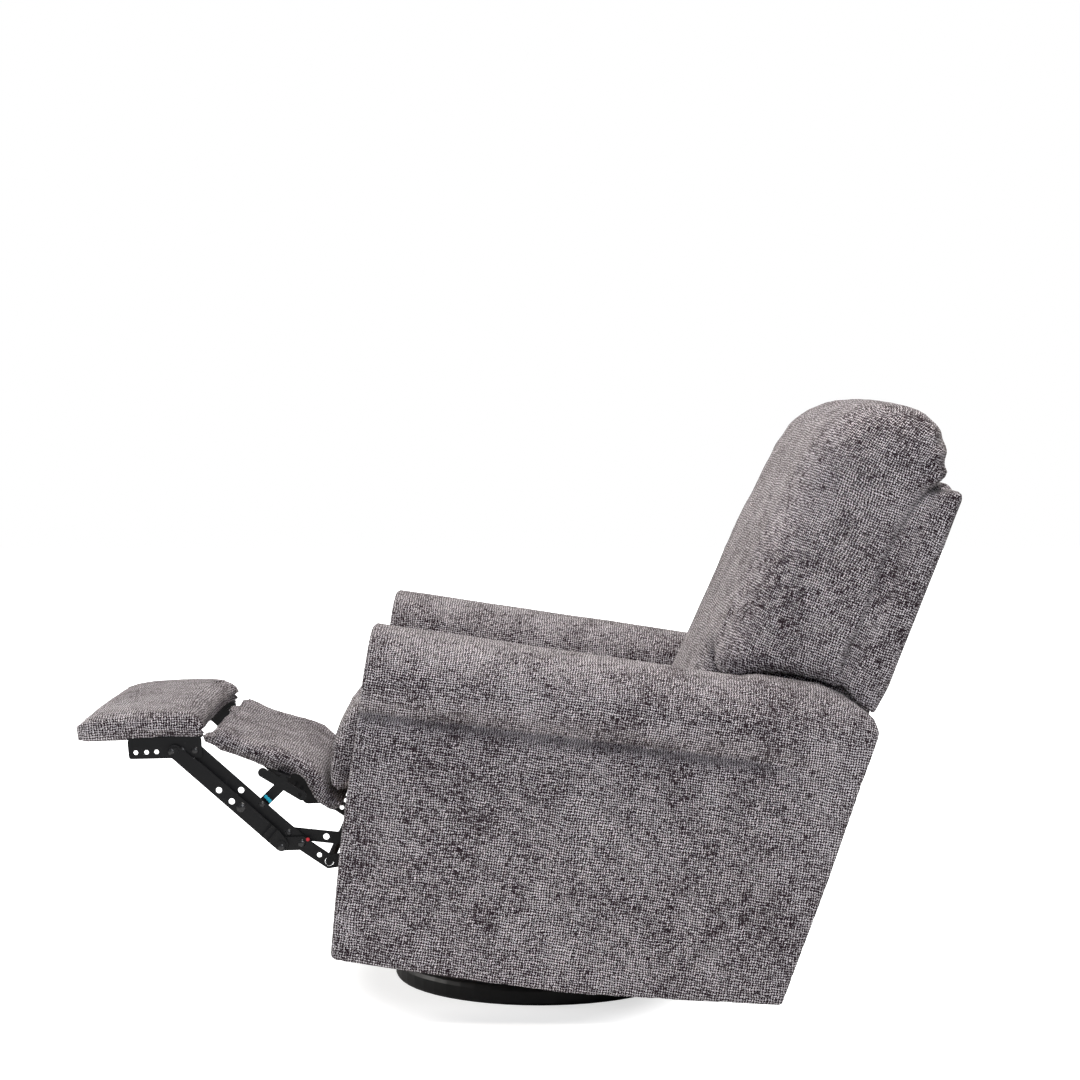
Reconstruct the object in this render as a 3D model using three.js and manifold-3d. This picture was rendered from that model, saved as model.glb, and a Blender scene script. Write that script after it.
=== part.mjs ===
// Swivel glider recliner with the footrest out and the back upright.
// Millimetres. +X points to the rear of the chair, +Y to the sitter's right, +Z up.
// The upholstered body is drawn level, in a frame whose origin lies on the floor under the swivel
// axis, and is then tipped back as one group about that origin.
import * as THREE from 'three';
import { mergeVertices } from 'three/addons/utils/BufferGeometryUtils.js';
import Module from 'manifold-3d';

const wasm = await Module();
wasm.setup();

// The whole chair with its footrest out and its back upright
const unit = 1;
const chairLength = 1518 * unit;
const chairWidth = 850 * unit;
const chairHeight = 1036 * unit;

// General sizes
const fit = 0.3 * unit;
const overrun = 20 * unit;
const mergeTolerance = 0.001 * unit;
const bodyTilt = 8.3;
const tilt = THREE.MathUtils.degToRad(bodyTilt);
const roundSides = 14;
const fewestHoleSides = 8;

// The radius of a many-sided hole that clears a round pin by the fit
function boreFor(radius) {
  return (radius + fit) / Math.cos(Math.PI / fewestHoleSides);
}

// Arms
const armFront = -372 * unit;
const armRear = 490 * unit;
const armTop = 614 * unit;
const armFoot = 56.5 * unit;
const armRearFoot = 398 * unit;
const armRearRise = 34 * unit;
const armRiseStart = -10 * unit;
const armInner = 262 * unit;
const armOuter = chairWidth / 2;
const armOverhang = 36 * unit;
const rollHeight = 148 * unit;
const rollTaperShare = 0.13;
const armRearRadius = 262 * unit;
const facingThickness = 20 * unit;
const facingRound = 7 * unit;
const facingFlare = 12 * unit;

// Back
const reclineX = 328 * unit;
const reclineZ = 364 * unit;
const backRunningGap = 17 * unit;
const backHalfWidth = 340 * unit;
const backCoreHalfWidth = 244.5 * unit;
const backFoot = 452 * unit;
const backCushionFront = 128 * unit;
const backCushionRear = 563 * unit;
const crestX = 428 * unit;
const backLobeRadius = 110 * unit;
const backEdgeRound = 58 * unit;
const backCrown = 8 * unit;
const backFrontCrown = 24 * unit;
const backFrameRearFoot = 493 * unit;
const backFrameRearFootZ = 596 * unit;
const backFrameRearTop = 581 * unit;
const backFrameTopZ = 972 * unit;
const backFrameThickness = 64 * unit;
const backFrameLipRise = 1 * unit;

// Seat
const seatFront = -415 * unit;
const seatRear = 175 * unit;
const seatHalfWidth = 257 * unit;
const seatLipFoot = 303 * unit;
const seatCrest = 492 * unit;
const seatCrown = 16 * unit;
const seatEdgeRound = 26 * unit;
const seatRailFoot = 300 * unit;
const seatRailHeight = 38 * unit;
const seatRailWidth = 25 * unit;
const seatRailHalfSpan = 250 * unit;
const frontRailFront = -364 * unit;
const frontRailThickness = 26 * unit;
const seatRearRailX = 190 * unit;
const seatRailTop = seatRailFoot + seatRailHeight;
const springCount = 4;
const springSpacing = 96 * unit;
const springWidth = 46 * unit;
const springLoops = 7;
const springSteps = 6;
const springWire = 1.9 * unit;

// Rear panel and rail
const rearPanelTop = 258 * unit;
const rearPanelFoot = 104 * unit;
const rearPanelThickness = 16 * unit;
const rearRailDepth = 24 * unit;
const rearRailHeight = 60 * unit;

// Pressed steel of the mechanism
const steel = 3 * unit;
const layerPitch = 6 * unit;
const plateInner = 254 * unit;
const tubeStandProud = 1 * unit;
const linkHalfWidth = 11.5 * unit;
const pinRadius = 4 * unit;
const pinHeadRadius = 7.5 * unit;
const pinHeadHeight = 1.8 * unit;
const pinHole = boreFor(pinRadius);
const rivetSizes = { shank: pinRadius, head: pinHeadRadius, headHeight: pinHeadHeight };
const lightHole = 5.5 * unit;
const tieInner = plateInner - layerPitch;
const crankInner = tieInner - layerPitch;
const liftInner = crankInner - layerPitch;
const controlInner = liftInner - layerPitch;
const panelBracketGap = 1 * unit;
const panelBracketInner = controlInner - layerPitch - panelBracketGap;

// Footrest linkage pivots in the level body frame, in the side view
const footrestSlope = 10.6;
const liftPivotX = -443.4 * unit;
const liftPivotZ = 213.2 * unit;
const bracketPivotX = -647.5 * unit;
const bracketPivotZ = 344 * unit;
const pairSpacing = 34 * unit;
const crankPivotX = -266.2 * unit;
const crankPivotZ = 228.4 * unit;
const crankBendX = -392 * unit;
const crankBendZ = 189 * unit;
const controlPivotX = -295.4 * unit;
const controlPivotZ = 258.8 * unit;
const controlEndX = -471.5 * unit;
const controlEndZ = 225.3 * unit;
const controlBendX = -385 * unit;
const controlBendZ = 229 * unit;
const stretcherRadius = 7 * unit;
const carrierReach = 95 * unit;
const carrierDrop = 1 * unit;
const carrierSpacerRadius = 5 * unit;

// Footrest and inner panel
const boardLift = 25 * unit;
const footBoardThickness = 12 * unit;
const footPadThickness = 35 * unit;
const footPadCrown = 9 * unit;
const footPadHalfWidth = 268 * unit;
const footPadHeel = 14 * unit;
const padHeelToRear = 1294 * unit;
const footPadLength = chairLength - padHeelToRear;
const footPadRound = 15 * unit;
const bracketLength = 127 * unit;
const bracketHeel = 12 * unit;
const bracketDepth = 12.5 * unit;
const flangeWidth = 26 * unit;
const innerPanelHalfWidth = 216 * unit;
const innerPanelFront = -634 * unit;
const innerPanelRear = -378 * unit;
const innerPanelTop = 370 * unit;
const innerPanelFoot = 268 * unit;
const innerPanelRound = 9 * unit;
const innerBoardThickness = 6 * unit;
const innerBoardFront = -606 * unit;
const innerBoardRear = -478 * unit;
const innerBoardFrontZ = 350 * unit;
const innerBoardRearZ = 326 * unit;
const panelBarFrontX = -529 * unit;
const panelBarFrontZ = 320 * unit;
const panelBarRearX = -456 * unit;
const panelBarRearZ = 290 * unit;
const panelBarHalfWidth = 8 * unit;

// Side plates of the mechanism
const plateFront = -346 * unit;
const plateFoot = 196 * unit;
const plateTop = 288 * unit;
const plateCorner = 12 * unit;
const plateBoltRadius = 6 * unit;
const plateSlotRadius = 24 * unit;
const reclineEarRadius = 24 * unit;
const reclineBracketFoot = 30 * unit;
const reclineBracketReach = 150 * unit;
const reclineBracketWidth = 44 * unit;

// Glider linkage, first in the upright frame of the base and then in the body frame
const glideLinkLength = 100 * unit;
const glidePivotSpread = 144 * unit;
const glidePivotHeight = 206 * unit;
const frontLinkLean = 37;
const rearLinkLean = 12;
const glideSteel = 4 * unit;
const glideLayer = 6 * unit;
const glideBracketInner = 168 * unit;
const glideLinkInner = glideBracketInner + glideLayer;
const carriageInner = glideLinkInner + glideLayer;
const glideLinkHalfWidth = 15 * unit;
const glideBoltRadius = 5 * unit;
const glideHeadRadius = 9 * unit;
const glideHeadHeight = 1.2 * unit;
const rearBoltPlay = 1.6 * unit;
const glideBoltSizes = { shank: glideBoltRadius, head: glideHeadRadius, headHeight: glideHeadHeight };
const bracketFootSpread = 112 * unit;
const bracketEar = 17 * unit;
const crossTubeRadius = 12 * unit;
const crossTubeZ = 264 * unit;
const frontTubeX = -128 * unit;
const rearTubeX = 176 * unit;

// Base and swivel
const ringRadius = 260 * unit;
const ringWidth = 27 * unit;
const ringHeight = 33 * unit;
const ringCorner = 9 * unit;
const ringSegments = 56;
const spokeWidth = 38 * unit;
const spokeHeight = 20 * unit;
const spokeLift = 9 * unit;
const hubRadius = 74 * unit;
const hubThickness = 6 * unit;
const raceOuter = 66 * unit;
const raceInner = 42 * unit;
const raceHeight = 9 * unit;
const raceLip = 5 * unit;
const swivelPlateThickness = 5 * unit;
const swivelPlateHalfX = 104 * unit;
const channelDepth = 34 * unit;
const channelHeight = 24 * unit;
const channelX = 78 * unit;
const kingpinRadius = 11 * unit;
const kingpinHeadRadius = 20 * unit;
const kingpinHeadHeight = 9 * unit;

// Release handle on the sitter's right
const handleX = -58 * unit;
const handleZ = 262 * unit;
const handleLength = 150 * unit;
const handleThickness = 15 * unit;
const handleGripWidth = 24 * unit;
const handleHubRadius = 17 * unit;
const handleShaftRadius = 8 * unit;
const handleShaftPlay = 1 * unit;
const rosetteRadius = 30 * unit;
const rosetteThickness = 3 * unit;
const rosetteGap = 1.2 * unit;
const handleLean = 14;

// Materials
const fabric = { color: 0x8b8286, roughness: 0.95, metalness: 0 };
const blackSteel = { color: 0x17171a, roughness: 0.45, metalness: 0.7 };
const ringPaint = { color: 0x131316, roughness: 0.5, metalness: 0.3 };
const zinc = { color: 0x8d8f92, roughness: 0.4, metalness: 0.9 };
const timber = { color: 0xb48a5a, roughness: 0.8, metalness: 0 };
const moulding = { color: 0x1c1c1e, roughness: 0.6, metalness: 0 };

const chair = new THREE.Group();
const body = new THREE.Group();
body.rotation.y = tilt;
chair.add(body);
const sides = [['left', -1], ['right', 1]];

// A named mesh of one finish, put into a group
function add(group, name, geometry, finish) {
  const mesh = new THREE.Mesh(geometry, new THREE.MeshStandardMaterial(finish));
  mesh.name = name;
  group.add(mesh);
  return mesh;
}

// Only the positions of a geometry, with its shared corners merged
function bare(geometry) {
  const plain = geometry.index ? geometry.clone() : geometry;
  plain.deleteAttribute('normal');
  plain.deleteAttribute('uv');
  return mergeVertices(plain, mergeTolerance);
}

// Solids for cutting and joining
function solid(geometry) {
  const merged = bare(geometry);
  const mesh = new wasm.Mesh({
    numProp: 3,
    vertProperties: new Float32Array(merged.attributes.position.array),
    triVerts: new Uint32Array(merged.index.array),
  });
  return new wasm.Manifold(mesh);
}

function geometryOf(manifold) {
  const mesh = manifold.getMesh();
  const geometry = new THREE.BufferGeometry();
  geometry.setAttribute('position', new THREE.BufferAttribute(mesh.vertProperties, 3));
  geometry.setIndex(new THREE.BufferAttribute(mesh.triVerts, 1));
  geometry.computeVertexNormals();
  return geometry;
}

function cut(geometry, ...tools) {
  return geometryOf(tools.reduce((left, tool) => left.subtract(solid(tool)), solid(geometry)));
}

function join(first, ...others) {
  return geometryOf(others.reduce((sum, other) => sum.add(solid(other)), solid(first)));
}

function point(x, z) {
  return new THREE.Vector2(x, z);
}

// A block between two corners
function block(x0, x1, y0, y1, z0, z1) {
  const box = new THREE.BoxGeometry(x1 - x0, y1 - y0, z1 - z0);
  return box.translate((x0 + x1) / 2, (y0 + y1) / 2, (z0 + z1) / 2);
}

// A flat plate whose outline lies in the side view, from an inner distance outwards
function plate(shape, side, inner, thickness, curveSegments = 5) {
  const slab = new THREE.ExtrudeGeometry(shape, { depth: thickness, bevelEnabled: false, curveSegments });
  slab.rotateX(Math.PI / 2);
  return slab.translate(0, side > 0 ? inner + thickness : -inner, 0);
}

function hole(shape, center, radius) {
  const circle = new THREE.Path();
  circle.absarc(center.x, center.y, radius, 0, 2 * Math.PI, true);
  shape.holes.push(circle);
}

// The outline of a pressed bar along a line of points, with round ends
function barShape(points, halfWidth) {
  const count = points.length;
  const normals = points.slice(1).map((end, i) => {
    const along = end.clone().sub(points[i]).normalize();
    return point(-along.y, along.x);
  });
  const offset = (i, sign) => {
    const before = normals[Math.max(i - 1, 0)];
    const after = normals[Math.min(i, count - 2)];
    const miter = before.clone().add(after).normalize();
    return points[i].clone().addScaledVector(miter, sign * halfWidth / miter.dot(after));
  };
  const shape = new THREE.Shape();
  const startAngle = Math.atan2(normals[0].y, normals[0].x);
  const endAngle = Math.atan2(normals[count - 2].y, normals[count - 2].x);
  shape.absarc(points[0].x, points[0].y, halfWidth, startAngle, startAngle + Math.PI, false);
  for (let i = 1; i < count - 1; i += 1) {
    const corner = offset(i, -1);
    shape.lineTo(corner.x, corner.y);
  }
  const last = points[count - 1];
  shape.absarc(last.x, last.y, halfWidth, endAngle - Math.PI, endAngle, false);
  for (let i = count - 2; i > 0; i -= 1) {
    const corner = offset(i, 1);
    shape.lineTo(corner.x, corner.y);
  }
  shape.closePath();
  return shape;
}

// A closed outline whose corners are rounded
function roundedShape(points, radius) {
  const shape = new THREE.Shape();
  points.forEach((corner, i) => {
    const before = points[(i + points.length - 1) % points.length];
    const after = points[(i + 1) % points.length];
    const enter = corner.clone().add(before.clone().sub(corner).setLength(radius));
    const leave = corner.clone().add(after.clone().sub(corner).setLength(radius));
    if (i === 0) shape.moveTo(enter.x, enter.y);
    else shape.lineTo(enter.x, enter.y);
    shape.quadraticCurveTo(corner.x, corner.y, leave.x, leave.y);
  });
  shape.closePath();
  return shape;
}

// A riveted stud on a plate: its head lies at the inner end, its shank runs outwards to the plate
function stud(center, side, inner, outer, sizes = rivetSizes) {
  const profile = [
    point(0, inner - sizes.headHeight - fit), point(sizes.head, inner - sizes.headHeight - fit),
    point(sizes.head, inner - fit), point(sizes.shank, inner - fit),
    point(sizes.shank, outer), point(0, outer),
  ];
  const lathe = new THREE.LatheGeometry(profile, roundSides);
  if (side < 0) lathe.rotateX(Math.PI);
  return lathe.translate(center.x, 0, center.y);
}

// The same stud with its head at the outer end
function outerStud(center, side, inner, outer, sizes = rivetSizes) {
  const profile = [
    point(0, inner), point(sizes.shank, inner), point(sizes.shank, outer + fit),
    point(sizes.head, outer + fit), point(sizes.head, outer + sizes.headHeight + fit),
    point(0, outer + sizes.headHeight + fit),
  ];
  const lathe = new THREE.LatheGeometry(profile, roundSides);
  if (side < 0) lathe.rotateX(Math.PI);
  return lathe.translate(center.x, 0, center.y);
}

// A bolt boss between two distances from the middle
function spacer(center, side, inner, outer) {
  const rod = crossRod(point(0, 0), plateBoltRadius, inner, outer);
  if (side < 0) rod.rotateX(Math.PI);
  return rod.translate(center.x, 0, center.y);
}

// A rod across the chair
function crossRod(center, radius, y0, y1) {
  const rod = new THREE.CylinderGeometry(radius, radius, y1 - y0, roundSides);
  return rod.translate(center.x, (y0 + y1) / 2, center.y);
}

// A closed skin over rings of points. Each ring runs out along one chain and back along the other,
// so the ends are closed by ladders between the two chains.
function loft(rings) {
  const count = rings[0].length;
  const positions = rings.flat(2);
  const index = [];
  for (let i = 0; i < rings.length - 1; i += 1) {
    for (let k = 0; k < count; k += 1) {
      const a = i * count + k;
      const b = i * count + (k + 1) % count;
      index.push(a, b, a + count, b, b + count, a + count);
    }
  }
  const last = (rings.length - 1) * count;
  for (let k = 0; k < count / 2 - 1; k += 1) {
    const quad = [k, k + 1, count - 2 - k, count - 1 - k];
    const [a, b, c, d] = quad;
    index.push(a, c, b, a, d, c);
    index.push(last + a, last + b, last + c, last + a, last + c, last + d);
  }
  const geometry = new THREE.BufferGeometry();
  geometry.setAttribute('position', new THREE.Float32BufferAttribute(positions, 3));
  geometry.setIndex(index);
  if (signedVolume(geometry) < 0) geometry.index.array.reverse();
  geometry.computeVertexNormals();
  return geometry;
}

function signedVolume(geometry) {
  const corners = [new THREE.Vector3(), new THREE.Vector3(), new THREE.Vector3()];
  const { position } = geometry.attributes;
  let sum = 0;
  for (let i = 0; i < geometry.index.count; i += 3) {
    corners.forEach((corner, k) => corner.fromBufferAttribute(position, geometry.index.getX(i + k)));
    sum += corners[0].dot(corners[1].clone().cross(corners[2]));
  }
  return sum;
}

// How far a rounded edge has drawn in at a distance from the side
function roundInset(distance, radius) {
  if (distance >= radius) return 0;
  return radius - Math.sqrt(radius ** 2 - (radius - distance) ** 2);
}

function smooth(value) {
  const t = THREE.MathUtils.clamp(value, 0, 1);
  return t * t * (3 - 2 * t);
}

// The distance along X of a chain of points at a height
function chainX(chain, z) {
  let i = 0;
  while (i < chain.length - 2 && chain[i + 1].y < z) i += 1;
  const share = (z - chain[i].y) / (chain[i + 1].y - chain[i].y);
  return THREE.MathUtils.lerp(chain[i].x, chain[i + 1].x, share);
}

// Arm outline in the side view
function armRearX(z) {
  const foot = armFoot + armRearRise;
  const slope = (armRear - armRearFoot) / (armTop - rollHeight / 4 - foot);
  const edge = armRearFoot + (z - foot) * slope;
  const rise = Math.min(Math.abs(z - reclineZ), armRearRadius);
  const arc = reclineX + Math.sqrt(armRearRadius ** 2 - rise ** 2);
  return z > reclineZ ? Math.min(edge, arc) : edge;
}

function armFrontX(z) {
  const flare = Math.max(0, (armTop / 2 - z) / (armTop / 2 - armFoot));
  return armFront + facingFlare * flare * flare;
}

function armFootZ(x) {
  const share = (x - armRiseStart) / (armRearFoot - armRiseStart);
  return armFoot + armRearRise * Math.max(0, share) ** 1.25;
}

// Cross-section of an arm: share of the roll's height below the top, share of the overhang outside
// the side panel, and how far the outer and inner faces have turned in as a share of the roll's width
const armSectionShares = [
  [3.56, 0, 0, 0],
  [2.4, 0, 0, 0],
  [1.18, 0, 0, 0],
  [1.04, -0.12, 0, 0],
  [0.95, 0.42, 0, 0],
  [0.82, 0.86, 0, 0],
  [0.62, 1, 0, 0],
  [0.43, 0.96, 0, 0.006],
  [0.26, 0.9, 0.04, 0.045],
  [0.13, 0.9, 0.12, 0.12],
  [0.045, 0.9, 0.235, 0.23],
  [0, 0.9, 0.4, 0.385],
];

// One ring of an arm at a share of its length between two faces, drawn in by an inset. The roll gets
// lower towards the rear.
function armRing(side, share, startX, endX, inset, taper = rollTaperShare) {
  const outerChain = [];
  const innerChain = [];
  const rollDepth = rollHeight * (1 - taper * share);
  armSectionShares.forEach(([heightShare, overhangShare, outerTurnShare, innerTurnShare], row) => {
    let z = row === 0 ? armFoot : armTop - heightShare * rollDepth;
    const x = THREE.MathUtils.lerp(startX(z), endX(z), share);
    if (row === 0) z = armFootZ(x) + inset;
    if (row > armSectionShares.length - 3) z -= inset;
    const fade = 1 - smooth((x - armRear / 2) / (armRear / 2));
    const width = armOuter - armInner;
    const panel = armOuter - armOverhang;
    const bulge = armOverhang * overhangShare * (0.15 + 0.85 * fade);
    const outer = panel + bulge - outerTurnShare * width - inset;
    const inner = armInner + innerTurnShare * width + inset;
    outerChain.push([x, side * outer, z]);
    innerChain.unshift([x, side * inner, z]);
  });
  return [...outerChain, ...innerChain];
}

function armSolid(side) {
  const start = (z) => armFrontX(z) + facingThickness + fit;
  const stationShares = [0, 0.25, 0.5, 0.68, 0.82, 0.92, 1];
  return loft(stationShares.map((share) => armRing(side, share, start, armRearX, 0)));
}

function facingSolid(side) {
  const back = (z) => armFrontX(z) + facingThickness;
  const stations = [[0, facingRound], [0.14, facingRound / 3], [0.36, 0], [1, 0]];
  return loft(stations.map(([share, inset]) => armRing(side, share, armFrontX, back, inset, 0)));
}

// Release handle on the right arm: rosette, shaft and paddle
const panelFace = armOuter - armOverhang;
const handleCenter = point(handleX, handleZ);
const rosetteInner = panelFace + rosetteGap;

for (const [name, side] of sides) {
  let arm = armSolid(side);
  if (side > 0) {
    arm = cut(arm, crossRod(handleCenter, handleShaftRadius + handleShaftPlay, armInner - overrun, armOuter));
  }
  add(body, `arm_${name}`, arm, fabric);
  add(body, `arm_facing_${name}`, facingSolid(side), fabric);
}

function rosette() {
  const disc = new THREE.Shape();
  disc.absarc(handleCenter.x, handleCenter.y, rosetteRadius, 0, 2 * Math.PI, false);
  hole(disc, handleCenter, handleShaftRadius + handleShaftPlay);
  return plate(disc, 1, rosetteInner, rosetteThickness, 10);
}

function handlePaddle() {
  const inner = rosetteInner + rosetteThickness + fit;
  const lean = THREE.MathUtils.degToRad(180 - handleLean);
  const tip = handleCenter.clone().add(point(Math.cos(lean), Math.sin(lean)).multiplyScalar(handleLength));
  const grip = handleCenter.clone().lerp(tip, 0.45);
  const paddle = barShape([grip, tip], handleGripWidth / 2);
  const neck = barShape([handleCenter, grip], handleGripWidth / 3);
  const hub = new THREE.Shape();
  hub.absarc(handleCenter.x, handleCenter.y, handleHubRadius, 0, 2 * Math.PI, false);
  const joined = join(
    plate(hub, 1, inner, handleThickness),
    plate(neck, 1, inner, handleThickness),
    plate(paddle, 1, inner, handleThickness),
  );
  return cut(joined, crossRod(handleCenter, handleShaftRadius + fit, armInner, inner + handleThickness / 2));
}

const handleInner = rosetteInner + rosetteThickness + fit;
add(body, 'handle_rosette', rosette(), moulding);
add(body, 'release_handle', handlePaddle(), moulding);
const shaftEnd = handleInner + handleThickness / 2 - fit;
add(body, 'release_shaft', crossRod(handleCenter, handleShaftRadius, plateInner - steel, shaftEnd), zinc);

// Cushion rings: two chains in the side view, taken at a share of the half width
function flatRing(y, outward, inward) {
  const forth = outward.map((p) => [p.x, y, p.y]);
  const back = inward.map((p) => [p.x, y, p.y]).reverse();
  return [...forth, ...back];
}

const widthShares = [-1, -0.975, -0.92, -0.78, -0.4, 0, 0.4, 0.78, 0.92, 0.975, 1];

// Seat cushion: shares of its depth and of its height, over the front lip and back to the rear edge
const seatTopShares = [
  [0.017, 0.016], [0.003, 0.1], [0, 0.3], [0.003, 0.52], [0.013, 0.715], [0.036, 0.89],
  [0.092, 0.985], [0.246, 1], [0.483, 0.925], [0.737, 0.815], [0.94, 0.745], [0.995, 0.66],
];
// Shares of the depth and of the lip's drop below the cushion's underside
const seatFootShares = [
  [0.046, 1], [0.059, 0.75], [0.066, 0.4], [0.071, 0.14], [0.083, 0], [0.119, 0],
  [0.178, 0], [0.313, 0], [0.5, 0], [0.737, 0], [0.94, 0], [0.99, -0.4],
];

function seatCushion() {
  const depth = seatRear - seatFront;
  const height = seatCrest - seatLipFoot;
  const underside = seatRailTop + fit;
  const middle = point((seatFront + seatRear) / 2, (seatCrest + underside) / 2);
  const rings = widthShares.map((share) => {
    const inset = roundInset((1 - Math.abs(share)) * seatHalfWidth, seatEdgeRound);
    const drawIn = (p) => point(
      middle.x + (p.x - middle.x) * (1 - inset / (depth / 2)),
      middle.y + (p.y - middle.y) * (1 - inset / height),
    );
    const top = seatTopShares.map(([alongShare, upShare]) => {
      const crown = seatCrown * share * share * smooth(upShare);
      return drawIn(point(seatFront + alongShare * depth, seatLipFoot + upShare * height - crown));
    });
    const foot = seatFootShares.map(([alongShare, dropShare]) => {
      const z = underside - dropShare * (underside - seatLipFoot);
      const p = point(seatFront + alongShare * depth, z);
      const raised = point(p.x, z + inset * 0.5 * Math.abs(share));
      return alongShare < 0.5 ? raised : point(drawIn(p).x, raised.y);
    });
    return flatRing(share * seatHalfWidth, top, foot);
  });
  return loft(rings);
}
add(body, 'seat_cushion', seatCushion(), fabric);

// Seat box: rails, sinuous springs, rear panel
const railSpan = armInner - fit;
const frontRailRear = frontRailFront + frontRailThickness;
const frontRail = block(frontRailFront, frontRailRear, -railSpan, railSpan, seatRailFoot, seatRailTop);
add(body, 'front_rail', frontRail, timber);
for (const [name, side] of sides) {
  const inner = seatRailHalfSpan - seatRailWidth;
  const y0 = side > 0 ? inner : -seatRailHalfSpan;
  const rail = block(
    frontRailRear + fit, seatRearRailX - fit, y0, y0 + seatRailWidth, seatRailFoot, seatRailTop,
  );
  add(body, `seat_side_rail_${name}`, rail, timber);
}
const rearRailEnd = seatRearRailX + seatRailWidth;
const seatRearRail = block(seatRearRailX, rearRailEnd, -railSpan, railSpan, seatRailFoot, seatRailTop);
add(body, 'seat_rear_rail', seatRearRail, timber);

class SinuousCurve extends THREE.Curve {
  constructor(y, x0, x1) {
    super();
    Object.assign(this, { y, x0, x1 });
  }

  getPoint(t, target = new THREE.Vector3()) {
    const phase = Math.cos(2 * Math.PI * springLoops * t);
    const x = THREE.MathUtils.lerp(this.x0, this.x1, t);
    return target.set(x, this.y + springWidth / 2 * phase, 0);
  }
}

const springSection = new THREE.Shape();
springSection.absarc(0, 0, springWire, 0, 2 * Math.PI, false);
for (let i = 0; i < springCount; i += 1) {
  const y = (i - (springCount - 1) / 2) * springSpacing;
  const wire = new THREE.ExtrudeGeometry(springSection, {
    steps: springLoops * springSteps,
    extrudePath: new SinuousCurve(y, frontRailRear + fit, seatRearRailX - fit),
    bevelEnabled: false,
    curveSegments: 2,
  });
  add(body, `seat_spring_${i + 1}`, wire.translate(0, 0, seatRailTop - 3 * springWire), zinc);
}

// The fabric panel that closes the rear of the seat box, and the rail behind it
function rearPanel() {
  const footX = armRearX(rearPanelFoot) - fit;
  const topX = armRearX(rearPanelTop) - fit;
  const outline = roundedShape([
    point(footX - rearPanelThickness, rearPanelFoot), point(footX, rearPanelFoot),
    point(topX, rearPanelTop), point(topX - rearPanelThickness, rearPanelTop),
  ], rearPanelThickness / 4);
  return plate(outline, 1, -railSpan, 2 * railSpan, 2);
}
add(body, 'rear_panel', rearPanel(), fabric);
const rearRailX = armRearX(rearPanelFoot) - rearPanelThickness - 2 * fit;
const rearRailX0 = rearRailX - rearRailDepth;
const rearRailZ1 = rearPanelFoot + rearRailHeight;
add(body, 'rear_rail', block(rearRailX0, rearRailX, -railSpan, railSpan, rearPanelFoot, rearRailZ1), timber);

// Back: the line where cushion and frame meet, as shares of the cushion's depth and height
const backSeamShares = [
  [0.552, 0], [0.57, 0.05], [0.602, 0.141], [0.636, 0.232], [0.703, 0.416],
  [0.771, 0.609], [0.816, 0.688], [0.867, 0.757], [0.898, 0.787], [0.93, 0.808],
  [0.96, 0.836], [0.968, 0.875], [0.958, 0.922], [0.918, 0.967],
];
const backFrontShares = [
  [0.123, 0], [0.078, 0.05], [0.073, 0.141], [0.113, 0.232], [0.196, 0.416],
  [0.277, 0.609], [0.346, 0.729], [0.41, 0.842], [0.46, 0.907], [0.526, 0.957],
  [0.607, 0.988], [0.684, 0.9985], [0.756, 1], [0.837, 0.995],
];
const seamJoinCount = 8;

// The height of the back's crest in the body's own frame, so that the tipped chair has its full height
const backCrest = (chairHeight + crestX * Math.sin(tilt)) / Math.cos(tilt);

function backPoints(shares) {
  const depth = backCushionRear - backCushionFront;
  const height = backCrest - backFoot;
  return shares.map(([xShare, zShare]) => point(
    backCushionFront + xShare * depth, backFoot + zShare * height,
  ));
}

// Above the arms the back is wider, so there its lower edge is lifted clear of them
function lifted(chain, low, high) {
  const foot = chain[0].y;
  return chain.map((p) => {
    if (p.y >= high) return p.clone();
    const z = low + (p.y - foot) * (high - low) / (high - foot);
    return point(chainX(chain, z), z);
  });
}

const backStations = [
  ['wing', 1], ['wing', 0.985], ['wing', 0.94], ['wing', 0.87], ['wing', 0.78],
  ['step', 1], ['core', 1], ['core', 0.6], ['core', 0.2],
];

function backStationY([kind, share]) {
  if (kind === 'step') return backCoreHalfWidth + fit;
  return share * (kind === 'wing' ? backHalfWidth : backCoreHalfWidth);
}

function mirroredStations() {
  const right = backStations.map((station) => ({ kind: station[0], y: backStationY(station) }));
  const left = right.map(({ kind, y }) => ({ kind, y: -y })).reverse();
  return [...right, ...left];
}

const seam = backPoints(backSeamShares);
const wingFoot = armTop + backRunningGap;
const wingBlend = seam[4].y;
const wingSeam = lifted(seam, wingFoot, wingBlend);

function backCushion() {
  const front = backPoints(backFrontShares);
  const rings = mirroredStations().map(({ kind, y }) => {
    const inset = roundInset(backHalfWidth - Math.abs(y), backEdgeRound);
    const share = y / backHalfWidth;
    const shoulder = (z) => smooth((z - backFrameRearFootZ) / (backCrest - backFrameRearFootZ));
    const forward = (kind !== 'core' ? lifted(front, wingFoot, wingBlend) : front).map((p) => {
      const turn = shoulder(p.y) ** 3;
      const drop = (inset + backCrown * share * share) * turn;
      const drawn = (inset * 0.9 + backFrontCrown * share * share) * (1 - 0.75 * turn);
      return point(p.x + drawn, p.y - drop);
    });
    const rearward = (kind !== 'core' ? wingSeam : seam).map((p, i) => {
      if (i < seamJoinCount) return p;
      const rise = smooth((p.y - seam[8].y) / (seam[13].y - seam[8].y));
      const drop = (inset * 0.75 + backCrown * share * share) * rise;
      return point(p.x - drop * 0.3, p.y - drop);
    });
    return flatRing(y, forward, rearward);
  });
  return loft(rings);
}
add(body, 'back_cushion', backCushion(), fabric);

// The back's frame: it follows the cushion's seam in front and ends below in a round lobe about the
// recline pivot, so it turns clear of the rear panel
function lobePoint(degrees) {
  const angle = THREE.MathUtils.degToRad(degrees);
  return point(reclineX + backLobeRadius * Math.cos(angle), reclineZ + backLobeRadius * Math.sin(angle));
}

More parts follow.
